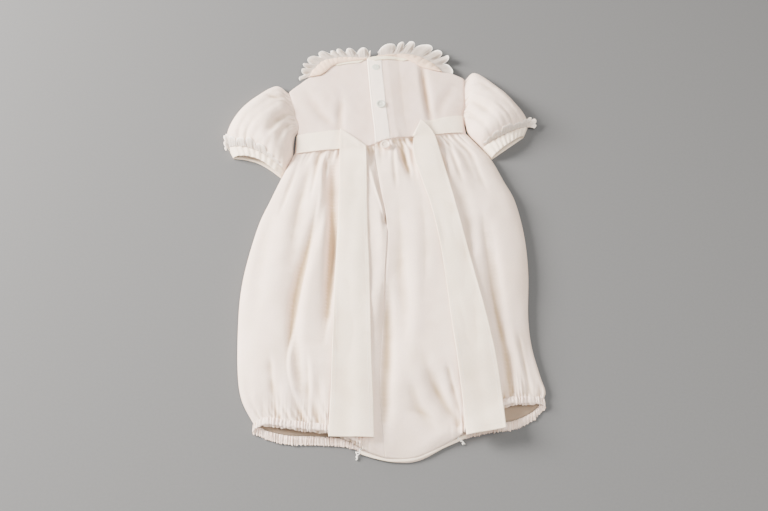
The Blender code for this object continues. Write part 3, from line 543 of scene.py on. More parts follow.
def crisp(x, y):
    """Height that the crisp folds add at x, y."""
    total = np.zeros_like(x)
    t = np.linspace(0, 1, 61)
    for points, left, right, depth, ridge, reach in CRISP_FOLDS:
        near, side, ahead = beside(x, y, spline(points, t))
        past = ahead / 6
        taper = np.sin(math.pi * np.clip(0.03 + 0.94 * t[near], 0, 1)) ** 0.6 * np.exp(-past * past)
        uneven = 1 + 0.18 * np.sin(17 * t[near] + 3 * depth)
        trough = np.exp(-np.abs(side / np.where(side < 0, left, right)) ** 1.7)
        over = side - 2.3 * right
        crest = np.exp(-(over / np.where(over < 0, 1.3 * right, reach)) ** 2)
        total += taper * uneven * (ridge * crest - depth * trough)
    return total


def pleat(x, seed=0.0):
    """Irregular fine pleats along an elastic edge, between -1 and 1; about 3 mm apart."""
    phase = 2 * math.pi * x / 3.0 + 2.3 * np.sin(x / 6.3 + seed) + 1.3 * np.sin(x / 2.7 + 2 * seed)
    return (np.cos(phase) * (0.6 + 0.4 * np.sin(x / 4.1 + seed)) + 0.4 * np.cos(0.43 * phase + 1.0)) / 1.2


print("crisp folds", len(CRISP_FOLDS), "and folds at the waist", len(WAIST_FOLDS))

# %% [markdown]
# ## Height of the bloomers
#
# The bloomers' back arches from seam to seam; its folds hang from the waist and from the elastic
# legs, and dozens of small gathers start at both sewn edges. The height is one function of place,
# so that sashes, buttons and stitches can lie on it.

# %% Height of the bloomers


def skirt_share(x, y):
    """Share across and down the bloomers' back, and the distances from waist and hem."""
    left = along(SIDE_LEFT, 1, y, 0)
    right = along(SIDE_RIGHT, 1, y, 0)
    top = along(WAIST, 0, x)
    hem = along(HEM_BACK, 0, x)
    s = np.clip((x - left) / (right - left), 0, 1)
    d = np.clip((top - y) / (top - hem), 0, 1)
    return s, d, np.clip(top - y, 0, None), np.clip(y - hem, 0, None)


def skirt_dome(x, y):
    """Outer face of the bloomers' back without its folds."""
    s, d, _, _ = skirt_share(x, y)
    height = np.interp(d, *np.transpose(SKIRT_ARCH))
    crotch = np.exp(-((x - 30) / 34) ** 2) * np.clip((d - 0.8) / 0.2, 0, 1) ** 1.5
    return SIDE_EDGE + (height - SIDE_EDGE) * arch(s, 3.4) * (1 - 0.66 * crotch)


def leg_share(x):
    """1 over the legs, 0 over the crotch between them."""
    return 1 - np.exp(-((x - 32) / 46) ** 6)


def hem_shape(x, below):
    """Height to add below the sewn hem line: the elastic casing at the legs, a fall at the crotch."""
    legs = leg_share(x)
    casing = 0.1 * below + 0.35 * np.sin(math.pi * np.clip(below / CASING, 0, 1))
    casing = casing - 1.8 * np.clip((below - CASING + 2.2) / 2.2, 0, 1) ** 2
    return legs * casing


def skirt_height(x, y):
    """Outer face of the bloomers' back."""
    s, _, from_waist, from_hem = skirt_share(x, y)
    below = np.clip(along(HEM_BACK, 0, x) - y, 0, CROTCH_DROP)
    dome = skirt_dome(x, y)
    legs = leg_share(x)
    fall = (1 - legs) * (below / CROTCH_DROP) ** 1.3
    dome = dome * (1 - fall) + 2.9 * fall
    rise = np.clip((dome - SIDE_EDGE) / 10, 0, 1)
    pressed = 1 - 0.75 * np.exp(-from_waist / 1.6)
    small = pressed * (gathers(s, from_waist, count=40, depth=2.3, reach=15.0, seed=3)
                       + 0.9 * gathers(s, from_waist, count=17, depth=1.8, reach=42.0, seed=8, width=0.24))
    small += legs * (gathers(s, from_hem, count=44, depth=2.5, reach=12.0, seed=5)
                     + gathers(s, from_hem, count=24, depth=2.3, reach=27.0, seed=6, width=0.24))
    drawn = 1.6 * np.exp(-(from_hem / 11.0) ** 1.4) * (1 - 0.25 * np.exp(-((below - 1.2) / 1.0) ** 2))
    small += legs * 0.95 * pleat(x + 0.05 * from_hem * np.sin(x / 9)) * drawn
    big = creases(x, y, SKIRT_FOLDS) + creases(x, y, WAIST_FOLDS) + crisp(x, y)
    swell = 0.8 * unevenness(x, y, size=90, seed=1) + 0.3 * unevenness(x, y, size=28, seed=2)
    return dome + rise * ((big + swell) * np.exp(-below / 5) + small + hem_shape(x, below))


probe = skirt_height(np.array([-80.0, 0.0, 80.0]), np.array([0.0, -50.0, -100.0]))
print("heights at three places, mm", np.round(probe, 1))

# %% [markdown]
# ## Height of the bodice
#
# The bodice lies nearly flat: a low arch between the armholes, a few soft folds, and fine puckers
# at its seams. Where the right half laps over the left one, it is lifted by the cloth below.

# %% Height of the bodice


def bodice_height(x, y):
    """Outer face of the back bodice."""
    left = along(ARM_LEFT, 1, y, 0)
    right = along(ARM_RIGHT, 1, y, 0)
    s = np.clip((x - left) / (right - left), 0, 1)
    waist = along(WAIST, 0, x)
    d = np.clip((NECK_TOP - y) / (NECK_TOP - waist), 0, 1)
    height = np.interp(d, *np.transpose(BODICE_ARCH))
    arm = ARM_EDGE - (ARM_EDGE - SIDE_EDGE) * np.clip((d - 0.75) / 0.2, 0, 1)
    rise = np.clip(arch(s) * 1.2, 0, 1)
    from_arm = np.minimum(x - left, right - x).clip(0)
    from_waist = np.clip(y - waist, 0, None)
    puckers = gathers((y - 120) / 80, from_arm, count=13, depth=1.0, reach=8.0, seed=4)
    puckers += 0.7 * gathers(s, from_waist, count=30, depth=0.8, reach=6.0, seed=9)
    swell = 0.45 * unevenness(x, y, size=60, seed=4) + 0.15 * unevenness(x, y, size=17, seed=5)
    folds = 1.3 * creases(x, y, BODICE_FOLDS)
    return arm + (height + WALL - arm) * arch(s) + rise * (folds + puckers + swell)


def back_height(x, y):
    """Outer face of the back, bodice or bloomers, whichever is at x, y."""
    return np.where(y > along(WAIST, 0, x), bodice_height(x, y), skirt_height(x, y))


def lap_edge_x(y):
    """x of the lap's free edge from the neck to the end of the slit."""
    return np.where(y > SLIT_TOP, along(LAP_EDGE, 1, y, 0), along(SLIT, 1, y, 0))


def lap_lift(x, y):
    """Extra height of the right back where it laps over the left."""
    past = x - lap_edge_x(y)
    across = np.clip(1 - (past - LAP_REACH - 8) / 12, 0, 1)
    down = np.clip((y - 60) / 40, 0, 1)
    return LAP_LIFT * across * down


def lapped_height(x, y):
    """Height of whatever is uppermost of the two backs."""
    return back_height(x, y) + np.where(x > lap_edge_x(y) - 3, lap_lift(x, y), 0)


probe = bodice_height(np.array([-60.0, 0.0, 60.0]), np.array([150.0, 150.0, 150.0]))
print("heights at three places, mm", np.round(probe, 1))

# %% [markdown]
# ## Depth of the folds
#
# Cloth deep in a fold is painted darker and warmer, as shade. The height of a sheet is set against its
# own blurred copy, once for small folds and once for large ones, and what lies lower counts as deep.

# %% Depth of the folds
FOLD_SIZES = ((2.0, 0.9, 0.45), (6.5, 2.4, 0.8))    # size and depth in mm, and share, of small and large


def blurred(z, down, across):
    """Grid smoothed with its neighbours, so many rounds down and across."""
    for _ in range(down):
        z = np.vstack([z[:1], 0.25 * z[:-2] + 0.5 * z[1:-1] + 0.25 * z[2:], z[-1:]])
    for _ in range(across):
        z = np.hstack([z[:, :1], 0.25 * z[:, :-2] + 0.5 * z[:, 1:-1] + 0.25 * z[:, 2:], z[:, -1:]])
    return z


def hollow(z, dx, dy):
    """How deep each point lies in a small or a large fold, 0 to 1; dx and dy are the steps in mm."""
    total = np.zeros_like(z)
    for size, depth, share in FOLD_SIZES:
        down = int(np.clip(2 * (size / dy) ** 2, 1, 160))
        across = int(np.clip(2 * (size / dx) ** 2, 1, 160))
        total += share * np.clip((blurred(z, down, across) - z) / depth, 0, 1)
    return np.clip(total, 0, 1)


trough = hollow(np.outer(np.ones(9), [2.0, 2.0, 2.0, 0.0, 2.0, 2.0, 2.0]), 1.0, 1.0)
print("a trough 2 mm deep counts as", round(float(trough[4, 3]), 2))

# %% [markdown]
# ## Making a piece
#
# Every piece is a mesh from points and faces, with one material. It is shaded smooth, rides on the
# body, and hides the solid in whose place it stands.

# %% Making a piece
made = {}


def apply(obj, kind, **settings):
    """Adds a modifier and applies it."""
    bpy.ops.object.select_all(action='DESELECT')
    obj.select_set(True)
    bpy.context.view_layer.objects.active = obj
    modifier = obj.modifiers.new(kind.lower(), kind)
    for key, value in settings.items():
        setattr(modifier, key, value)
    bpy.ops.object.modifier_apply(modifier=modifier.name)


def new_object(name, points, faces, material):
    """Object with a new mesh; points are rows of x, y, z in the millimetres of the tables."""
    verts = (points + np.array([SHIFT[0], SHIFT[1], 0.0])) * MM
    mesh = bpy.data.meshes.new(name)
    mesh.from_pydata([tuple(p) for p in verts.reshape(-1, 3)], [], faces)
    mesh.update()
    obj = bpy.data.objects.new(name, mesh)
    bpy.context.collection.objects.link(obj)
    obj.data.materials.append(material)
    return obj


def finished(obj, slot, *nodes):
    """Shades a piece smooth, ties it to the body and hides the solids it replaces; slot is not used."""
    obj.data.polygons.foreach_set("use_smooth", np.ones(len(obj.data.polygons), dtype=bool))
    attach(obj, ROOT)
    if nodes:
        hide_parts(*nodes)
    made[obj.name] = obj
    print("%-26s %6d faces" % (obj.name, len(obj.data.polygons)))


print("pieces ride on", ROOT)

# %% [markdown]
# ## A sheet of cloth
#
# A sheet is an open grid, or one closed to a tube, that gets a thin wall. The grid's own lengths
# give the cloth map for the weave. The flat size is what the piece was cut to, gathers let out.

# %% A sheet of cloth


def map_cloth(mesh, faces, grid, closed):
    """Gives the mesh the map of the flat cloth, in metres along the grid's rows and columns."""
    cols = grid.shape[1]
    across = np.linalg.norm(np.diff(grid, axis=1), axis=2).mean(0)
    down = np.linalg.norm(np.diff(grid, axis=0), axis=2).mean(1)
    u = np.concatenate([[0], np.cumsum(across)]) * MM
    v = np.concatenate([[0], np.cumsum(down)]) * MM
    corners = np.empty((faces.size, 2))
    flat = faces.reshape(-1)
    corners[:, 0] = u[flat % cols]
    corners[:, 1] = v[flat // cols]
    if closed:
        wrap = (faces[..., 2] % cols == 0).reshape(-1)
        corners.reshape(-1, 4, 2)[wrap, 2:, 0] = u[-1] + across[-1] * MM
    mesh.uv_layers.new(name="cloth").data.foreach_set("uv", corners.reshape(-1))
    return across.mean(), down.mean()


def point_values(mesh, name, values):
    """Stores one value from 0 to 1 for each point, for the materials."""
    attribute = mesh.attributes.new(name, 'FLOAT', 'POINT')
    attribute.data.foreach_set("value", np.clip(values, 0, 1).reshape(-1).astype(np.float32))


def cloth(name, grid, material, slot, cut, held, share, rests=("paper_floor",), wall=CLOTH,
          offset=-1.0, closed=False, warm=0.0, layers_and_highlight=None, solid=True):
    """Sheet through a grid of x, y, z rows in mm. cut, the flat width and length in mm, and share, what the
    curved piece fills of that rectangle, are not used; solid is False for a piece without one."""
    rows, cols = grid.shape[:2]
    index = np.arange(rows * cols).reshape(rows, cols)
    right = np.roll(index, -1, axis=1)
    last = cols if closed else cols - 1
    faces = np.stack([index[:-1, :last], index[1:, :last], right[1:, :last], right[:-1, :last]], -1)
    obj = new_object(name + "_cloth", grid, faces.reshape(-1, 4).tolist(), material)
    across, down = map_cloth(obj.data, faces, grid, closed)
    # the fold attribute is the share of painted shade at each point; warm adds the same amount everywhere
    point_values(obj.data, "fold", hollow(grid[..., 2], across, down) + warm)
    if layers_and_highlight is not None:
        point_values(obj.data, "layers_and_highlight", layers_and_highlight)
    apply(obj, 'SOLIDIFY', thickness=wall * MM, offset=offset, use_rim=True)
    finished(obj, slot, *((name,) if solid else ()))


print("a wall is", CLOTH, "mm unless a piece says otherwise")

# %% [markdown]
# ## Panels
#
# A panel is a grid between four edges, denser towards the seam where the lap and the slit are. Its
# sewn edges turn down a little into their seams. Front panels lie flat on the paper.

# %% Panels


def moved(curve, dx, dy):
    """Curve moved by dx, dy."""
    return tuple((x + dx, y + dy) for x, y in curve)


def part_of(curve, start, end, count=9):
    """Piece of a curve between two shares of its length, as rows."""
    return tuple(tuple(p) for p in spline(curve, np.linspace(start, end, count)))


def share_at(curve, key, value):
    """Share of a curve's length where its key coordinate has a value."""
    t = np.linspace(0, 1, 800)
    return float(t[np.argmin(np.abs(spline(curve, t)[:, key] - value))])


def eased(cols, dense):
    """Shares from 0 to 1, crowded towards the left or the right."""
    i = np.linspace(0, 1, cols + 1)
    if dense == "left":
        return 1 - np.sin(0.5 * math.pi * (1 - i)) * 0.3 - (1 - i) * 0.7
    return np.sin(0.5 * math.pi * i) * 0.3 + i * 0.7


def turned_under(shape, top, bottom, left, right):
    """Drop in mm that rounds a panel's edges into their seams."""
    r = np.arange(shape[0])[:, None]
    c = np.arange(shape[1])[None, :]
    drop = top * np.exp(-(r / 1.2) ** 2) + bottom * np.exp(-((shape[0] - 1 - r) / 1.2) ** 2)
    return drop + left * np.exp(-(c / 1.6) ** 2) + right * np.exp(-((shape[1] - 1 - c) / 1.6) ** 2)


def back_panel(name, left, right, top, bottom, cells, height, dense, drops, material=body_cotton,
               layers_and_highlight=None, **facts):
    """Back panel inside four edges, on the height of the back; cells are its columns and rows."""
    u, v = np.meshgrid(eased(cells[0], dense), np.linspace(0, 1, cells[1] + 1))
    xy = patch(left, right, top, bottom, u, v)
    z = height(xy[..., 0], xy[..., 1]) - turned_under(u.shape, *drops)
    if layers_and_highlight is not None:
        layers_and_highlight = layers_and_highlight(xy[..., 0], xy[..., 1])
    cloth(name, np.dstack([xy, z]), material, "cotton", layers_and_highlight=layers_and_highlight, **facts)


def flat_panel(name, left, right, top, bottom, cells, **facts):
    """Front panel that lies on the paper, its inside up."""
    u, v = np.meshgrid(np.linspace(0, 1, cells[0] + 1), np.linspace(0, 1, cells[1] + 1))
    xy = patch(left, right, top, bottom, u, v)
    z = np.full(u.shape, WALL)
    # the inside of the front is a dark cloth with extra fold shade: painted shade for the shade it lies in
    cloth(name, np.dstack([xy, z]), shaded_inner_cotton, "cotton", wall=WALL - 0.1, warm=0.3, **facts)


print("slit starts at", round(share_at(WAIST, 0, SLIT[0][0]), 3), "of the waist")

# %% [markdown]
# ## Bloomers
#
# The back is cut in two halves that meet in a centre seam, open at the top as a slit. Each half is
# gathered to the bodice and into the elastic of its leg. The front is one piece under them, flat on
# the paper, and shows only its inside through the leg openings.

# %% Bloomers
TUCK = 1.2                # how far a gathered edge reaches under the piece it is sewn to, mm
SKIRT_CELLS = (224, 160)  # columns and rows of each half's grid
middle = share_at(WAIST, 0, SLIT[0][0])
waist_left = moved(part_of(WAIST, 0, middle), 0, TUCK)
waist_right = moved(part_of(WAIST, middle, 1), 0, TUCK)


def tucked(x, y, z):
    """Skirt height with its top edge tucked under the bodice."""
    over = y - along(WAIST, 0, x)
    under = np.clip((over + 0.8) / 0.8, 0, 1)
    return z * (1 - under) + (bodice_height(x, y) - 1.1) * under


def left_skirt(x, y):
    """Left half: its edge of the slit has a rolled ridge, lies lower, and ends in a small notch."""
    width = np.interp(y, (0, 30, 60, 106), (1.6, 2.6, 4.6, 8.5))
    past = np.clip((lap_edge_x(y) - x) / width, 0, 4)
    edge = 0.9 * np.exp(-((past - 1.5) / 0.45) ** 2)
    open_part = np.clip((y + 4) / 12, 0, 1) * np.clip((108.5 - y) / 10, 0, 1)
    wedge = 3.4 * np.exp(-((y - SLIT_FOOT) / 8) ** 2) * np.exp(-((lap_edge_x(y) - x) / 4.5) ** 4)
    return tucked(x, y, skirt_height(x, y) + (edge - SLIT_DROP * np.exp(-past ** 3)) * open_part - wedge)


def right_skirt(x, y):
    """Right half: lifted where it laps over the left, and pressed in along the centre seam."""
    seam = 0.7 * np.exp(-((x - lap_edge_x(y)) / 1.4) ** 2)
    seam = seam * np.clip(-y / 12, 0, 1) * np.clip((y + 110) / 60, 0, 1)
    return tucked(x, y, skirt_height(x, y) - seam) + lap_lift(x, y)


def lowered(curve):
    """Hem line moved down to the edge of the casing, less at its outer corner and more at the crotch."""
    fine = spline(curve, np.linspace(0, 1, 181))
    corner = np.where(fine[:, 0] > 6, 159, -119)
    legs = leg_share(fine[:, 0])
    drop = (CASING + 0.8 * pleat(fine[:, 0])) * legs + CROTCH_DROP * (1 - legs)
    drop = drop * np.clip(0.12 + np.abs(fine[:, 0] - corner) / 12, 0, 1)
    return tuple(map(tuple, np.column_stack([fine[:, 0], fine[:, 1] - drop])))


hem_left, hem_right = lowered(HEM_BACK_LEFT), lowered(HEM_BACK_RIGHT)
side_left = (waist_left[0],) + SIDE_LEFT[1:-1] + (hem_left[0],)
seam_left = (waist_left[-1],) + SLIT[1:-1] + (hem_left[-1],)
seam_right = (waist_right[0],) + SLIT[1:-1] + (hem_right[0],)
side_right = (waist_right[-1],) + SIDE_RIGHT[1:-1] + (hem_right[-1],)
back_panel("skirt_back_left", side_left, seam_left, waist_left, hem_left, SKIRT_CELLS, left_skirt, "left",
           (0.0, 0.2, 0.0, 0.0), cut=(196, 350), held="gathered", share=0.86, rests=("skirt_front",))
back_panel("skirt_back_right", seam_right, side_right, waist_right, hem_right, SKIRT_CELLS, right_skirt,
           "right", (0.0, 0.2, 0.0, 0.0), cut=(206, 360), held="gathered", share=0.86,
           rests=("skirt_front",))
front_top = moved(WAIST, 0, -0.5 * SEAM)
flat_panel("skirt_front", (front_top[0],) + SIDE_LEFT[1:], (front_top[-1],) + SIDE_RIGHT[1:], front_top,
           HEM_FRONT, (60, 60), cut=(330, 350), held="gathered", share=0.85)

# %% [markdown]
# ## Bodice
#
# Two back halves with a button placket: the right half laps over the left. The front half lies
# under them and reaches lower at the neck.

# %% Bodice
PLACKET = 17.0            # width of the lap's folded placket, mm
base = moved(WAIST, 0, 0.5 * SEAM)
base_left = moved(part_of(WAIST, 0, share_at(WAIST, 0, UNDER_EDGE[-1][0])), 0, 0.5 * SEAM)
base_right = moved(part_of(WAIST, share_at(WAIST, 0, LAP_EDGE[-1][0]), 1), 0, 0.5 * SEAM)


def placket_share(x, y):
    """1 on the folded placket of the lap, 0 beyond it."""
    return np.clip((PLACKET - (x - lap_edge_x(y))) / 1.0, 0, 1)


def over_lap(x, y):
    """Height of the right half, with the ridge of its placket."""
    ridge = 0.45 * placket_share(x, y)
    return bodice_height(x, y) + lap_lift(x, y) + ridge


def lap_layers(x, y):
    """How far the cloth lies doubled on the right half: at the placket and at the neck."""
    return 0.75 * placket_share(x, y) + 0.3 * np.clip((y - 226) / 6, 0, 1)


back_panel("bodice_back_left", ARM_LEFT[:-1] + (base_left[0],), UNDER_EDGE[:-1] + (base_left[-1],),
           TOP_LEFT, base_left, (130, 100), bodice_height, "left", (0.3, 0.6, 0.4, 0.0), bodice_cotton,
           cut=(122, 136), held="laid", share=0.9, rests=("bodice_front",))
back_panel("bodice_back_right", LAP_EDGE[:-1] + (base_right[0],), ARM_RIGHT[:-1] + (base_right[-1],),
           TOP_RIGHT, base_right, (120, 100), over_lap, "right", (0.3, 0.6, 0.3, 0.4), bodice_cotton,
           lap_layers, cut=(112, 130), held="laid", share=0.88, rests=("bodice_back_left", "bodice_front"))
flat_panel("bodice_front", ARM_LEFT[:-1] + (base[0],), ARM_RIGHT[:-1] + (base[-1],), NECK_FRONT, base,
           (50, 30), cut=(200, 112), held="laid", share=0.72)

# %% [markdown]
# ## Measures of the sleeves
#
# A row gives the outer and the under fold of a flattened sleeve, its height and its bow, from the
# armhole out to the band. The armhole itself is a curve, and a few large folds cross each puff.

# %% Measures of the sleeves
SLEEVE_LEFT_ROWS = (
    (-103.6, 184.5, -94.6, 124, 3.8, 0.0),
    (-119, 194, -95.6, 112, 12.0, 0.0),
    (-140.5, 176.5, -95.9, 98, 20.0, 2.0),
    (-159, 154, -99.9, 86.5, 23.0, 4.0),
    (-169, 129, -102.1, 79.5, 19.0, 6.0),
    (-166.5, 108, -103.2, 77, 10.0, 7.0),
)
SLEEVE_RIGHT_ROWS = (
    (97.7, 203.5, 96.8, 137.5, 3.8, 0.0),
    (111, 213, 97.8, 130.5, 12.0, 0.0),
    (138.5, 187, 101.6, 123.9, 20.0, 0.0),
    (155, 163.5, 106.6, 117.4, 23.0, 0.0),
    (164, 147.5, 110.6, 111.8, 19.0, 0.0),
    (164.8, 136, 113.6, 107.8, 10.0, 0.0),
)
ARM_CURVE_LEFT = ((-103.6, 184.5), (-97.8, 163), (-94.9, 149), (-91.3, 136), (-94.6, 124))
ARM_CURVE_RIGHT = ((97.7, 203.5), (96.8, 183), (96.8, 165), (93.9, 151), (96.8, 137.5))
CUFF_LEFT_END = (-160, 95, -106.4, 69)
CUFF_RIGHT_END = (159.5, 123.5, 123, 94)
# folds of the puffs: three points on the path, width, depth, lean
SLEEVE_FOLDS = (
    (-96, 158, -112, 140, -122, 118, 5.5, -3.2, -1.0),
    (-94, 146, -106, 126, -112, 104, 4.0, -2.6, -0.6),
    (-100, 178, -116, 172, -128, 176, 3.4, -2.2, 0.0),
    (-118, 176, -136, 150, -150, 124, 8.0, -1.2, 0.0),
    (98, 176, 112, 160, 124, 140, 5.0, -2.0, 0.0),
    (97, 150, 108, 140, 118, 126, 4.0, -2.4, 0.4),
    (100, 194, 118, 190, 132, 176, 5.0, -1.6, 0.0),
    (120, 186, 136, 160, 146, 138, 7.0, -1.2, 0.0),
)
# each sleeve: its rows, its armhole, the corners of its band's free edge, and a seed for its gathers
SLEEVES = {
    "left": (SLEEVE_LEFT_ROWS, ARM_CURVE_LEFT, CUFF_LEFT_END, 11),
    "right": (SLEEVE_RIGHT_ROWS, ARM_CURVE_RIGHT, CUFF_RIGHT_END, 23),
}
PUFF_LENGTH = 78.0        # from armhole to band, mm
print("rows of a sleeve", len(SLEEVE_LEFT_ROWS), "folds of both", len(SLEEVE_FOLDS))

# %% [markdown]
# ## Puff sleeves
#
# Each sleeve is a tube pressed flat: a ring runs over the top from the outer fold and back along
# the paper. It is gathered to the armhole and into a narrow band.

# %% Puff sleeves


def ring(a, b, height, bow, angles, power=0.8):
    """Ring of points over a line from the outer fold a to the under fold b."""
    c = (1 - np.cos(angles)) / 2
    x = a[0] + (b[0] - a[0]) * c
    y = a[1] + (b[1] - a[1]) * c + bow * np.sin(math.pi * c)
    z = FLOOR_MID + height * np.clip(np.sin(angles), 0, 1) ** power
    return np.stack([x, y, z], axis=-1), c


def ring_angles(over, under):
    """Angles over the top from the outer fold, then back underneath."""
    return np.concatenate([np.linspace(0, math.pi, over + 1)[:-1],
                           np.linspace(math.pi, 2 * math.pi, under + 1)[:-1]])


def puff_ring(side, v, angles):
    """Ring of the puff at the share v of the way from armhole to band."""
    rows, arm_curve, _, seed = SLEEVES[side]
    ax, ay, bx, by, height, bow = row_values(rows, v)
    points, c = ring((ax, ay), (bx, by), height, bow, angles, 0.45 + 0.35 * min(1, 4 * v))
    chord_a, chord_b = np.array(rows[0][:2]), np.array(rows[0][2:4])
    arm = spline(arm_curve, c)
    points[:, :2] += (arm - (chord_a + (chord_b - chord_a) * c[:, None])) * (1 - v) ** 3
    over = np.clip(np.sin(angles), 0, 1)
    near, far = np.full(c.shape, PUFF_LENGTH * v), np.full(c.shape, PUFF_LENGTH * (1 - v))
    small = (gathers(c, near, count=23, depth=2.1, reach=13.0, seed=seed)
             + gathers(c, far, count=24, depth=1.9, reach=9.0, seed=seed + 3))
    small += 0.8 * gathers(c, far, count=8, depth=1.8, reach=26.0, seed=seed + 6, width=0.2)
    x, y = points[:, 0], points[:, 1]
    soft = creases(x, y, SLEEVE_FOLDS) + 1.0 * unevenness(x, y, size=48, seed=seed)
    soft += 0.35 * unevenness(x, y, size=17, seed=seed + 1)
    ends = min(1, 4 * v) * min(1, 0.2 + 4 * (1 - v))
    ease = min(1, 0.3 + 8 * v) * min(1, 0.5 + 6 * (1 - v))
    points[:, 2] += over ** 0.7 * (small * ease + soft * ends)
    points[:, 2] = np.maximum(points[:, 2], FLOOR_MID)
    return points


def facing_out(side, grid):
    """Grid with its columns in the order that turns its faces outwards."""
    return grid[:, ::-1] if side == "left" else grid


def puff(side, cut):
    """Puffed tube, the end at the armhole tucked a little under the bodice."""
    angles = ring_angles(over=196, under=20)
    grid = np.array([puff_ring(side, v, angles) for v in np.linspace(0, 1, 73)])
    over = np.clip(np.sin(angles) * 2, 0, 1)
    grid[0, :, 0] += (1.5 if side == "left" else -1.5) * over
    grid[0, :, 2] = np.minimum(grid[0, :, 2], 3.9)
    cloth("sleeve_" + side, facing_out(side, grid), body_cotton, "cotton", cut, "gathered", 0.8,
          ("cuff_" + side,), offset=0.0, closed=True)


puff("left", (235, 90))
puff("right", (200, 88))

# %% [markdown]
# ## Sleeve bands
#
# A narrow double band takes up the gathers of the puff. It is a ring too, rolled a little over its
# width and pulled into small waves by the stitches.

# %% Sleeve bands


def cuff(side, cut):
    """Band from the end of the puff to its free edge."""
    rows, _, edge, seed = SLEEVES[side]
    end = rows[-1]
    out_a = np.array([edge[0] - end[0], edge[1] - end[1]])
    out_b = np.array([edge[2] - end[2], edge[3] - end[3]])
    angles = ring_angles(over=170, under=24)
    band = []
    for w in np.linspace(0.02, 1.0, 13):
        a, b = np.array(end[:2]) + out_a * w, np.array(end[2:4]) + out_b * w
        points, c = ring(a, b, end[4] - 0.6 * w, end[5], angles)
        roll = 0.7 * math.sin(math.pi * w) ** 0.6 - (0.6 if w < 0.1 else 0.0)
        pull = 0.34 * np.sin(58 * c + 3 * seed) + 0.34 * np.sin(23 * c + seed + 4 * w) * np.sin(9 * c + seed)
        points[:, 2] += np.clip(np.sin(angles), 0, 1) ** 0.5 * (roll + pull)
        band.append(points)
    cloth("cuff_" + side, facing_out(side, np.array(band)), sash_cotton, "cotton", cut, "stretched", 0.55,
          ("skirt_front",), wall=0.9, offset=0.0, closed=True)


cuff("left", (120, 22))
cuff("right", (105, 22))

# %% [markdown]
# ## Frills
#
# The frill is sewn in with the band and turned back over the puff, where it is flattened. At the
# outer fold nothing holds it down, so its lobes fan out there and stand free.

# %% Frills
FAN = 0.28                # share of the frill that fans out at the outer fold
# the free lobes: how far they stand out in mm, their reach up the puff, and their swing in radians
FAN_LOBES = {"left": (6.5, 0.95, 2.1), "right": (10.0, 1.25, 2.25)}
FRILL_ROWS = 16


def frill(side, cut, waves):
    """Frill over the upper side of the puff, in so many waves."""
    seed = SLEEVES[side][3]
    stands, spread, swing = FAN_LOBES[side]
    share = np.linspace(0, 1, 28 * waves + 1)
    arc = math.pi * (0.08 + 0.8 * np.clip((share - FAN) / (1 - FAN), 0, 1))
    outward = swing * np.clip(1 - share / FAN, 0, 1) ** 0.8
    loose = np.clip(1.5 * (1 - share / FAN), 0, 1)
    turn = 2 * math.pi * waves * share + 1.3 * np.sin(9 * share + seed) + 0.7 * np.sin(23 * share)
    crown = np.abs(np.cos(turn / 2)) ** 0.7
    size = 0.8 + 0.3 * np.sin(14 * share + seed)
    sewn, upper = puff_ring(side, 1, arc), puff_ring(side, 0.86, arc)
    flat = sewn[-1, :2] - sewn[0, :2]
    flat = np.append(flat / np.linalg.norm(flat), -0.1)
    way = (upper - sewn) * np.cos(outward)[:, None] - stands * flat * np.sin(outward)[:, None]
    length = (0.48 + 0.6 * size * crown) * (1 - loose) + (0.74 + 0.34 * crown ** 0.6) * spread * loose
    rows = []
    for w in np.linspace(0, 1, FRILL_ROWS):
        row = sewn + (w * length)[:, None] * way
        row[:, :2] += flat[:2] * (1.1 * w * np.sin(turn) * np.cos(outward))[:, None]
        row[:, 2] += 0.5 + 1.4 * math.sin(0.8 * math.pi * w) + 1.6 * w * size * (crown - 0.6)
        rows.append(row)
    # the outer rows are lighter: partly doubled cloth at the edge, partly a painted highlight on the rim
    hem_and_highlight = np.repeat(np.linspace(1, 0, FRILL_ROWS)[:, None] ** 5, len(arc), axis=1)
    grid = np.array(rows)[::-1]
    grid[..., 2] = np.maximum(grid[..., 2], FLOOR_MID)
    cloth("cuff_frill_" + side, facing_out(side, grid), frill_cotton, "ruffle_cotton", cut, "gathered", 0.8,
          ("cuff_" + side,), wall=0.5, offset=0.0, layers_and_highlight=0.3 + hem_and_highlight)


frill("left", (125, 10), waves=10)
frill("right", (108, 10), waves=8)

# %% [markdown]
# ## Collar
#
# Two flat rounded halves, turned out past the neck so that their underside shows. Each is a strip
# between the neck edge and its own root, where the ruffle is sewn on, a little raised in between.

# %% Collar
COLLAR_LEFT_SPAN = (-13, -79)
COLLAR_LEFT_ROOT = ((-11, 235.5), (-25, 236.5), (-38, 237.5), (-50, 236.5), (-68, 231), (-77, 220),
                    (-82, 208))
COLLAR_RIGHT_SPAN = (-3, 69)
COLLAR_RIGHT_ROOT = ((-2, 238), (12, 241), (30, 242), (46, 238.5), (60, 230.5), (69, 222), (73, 214.5))
RUFFLE_LEFT_EDGE = ((-9.5, 247), (-24, 248.5), (-40, 248), (-57, 247), (-77, 241), (-90, 223), (-95, 200))
RUFFLE_RIGHT_EDGE = ((-2.5, 250), (14, 252), (32, 257), (52, 255), (70, 245), (80, 230), (84, 211))
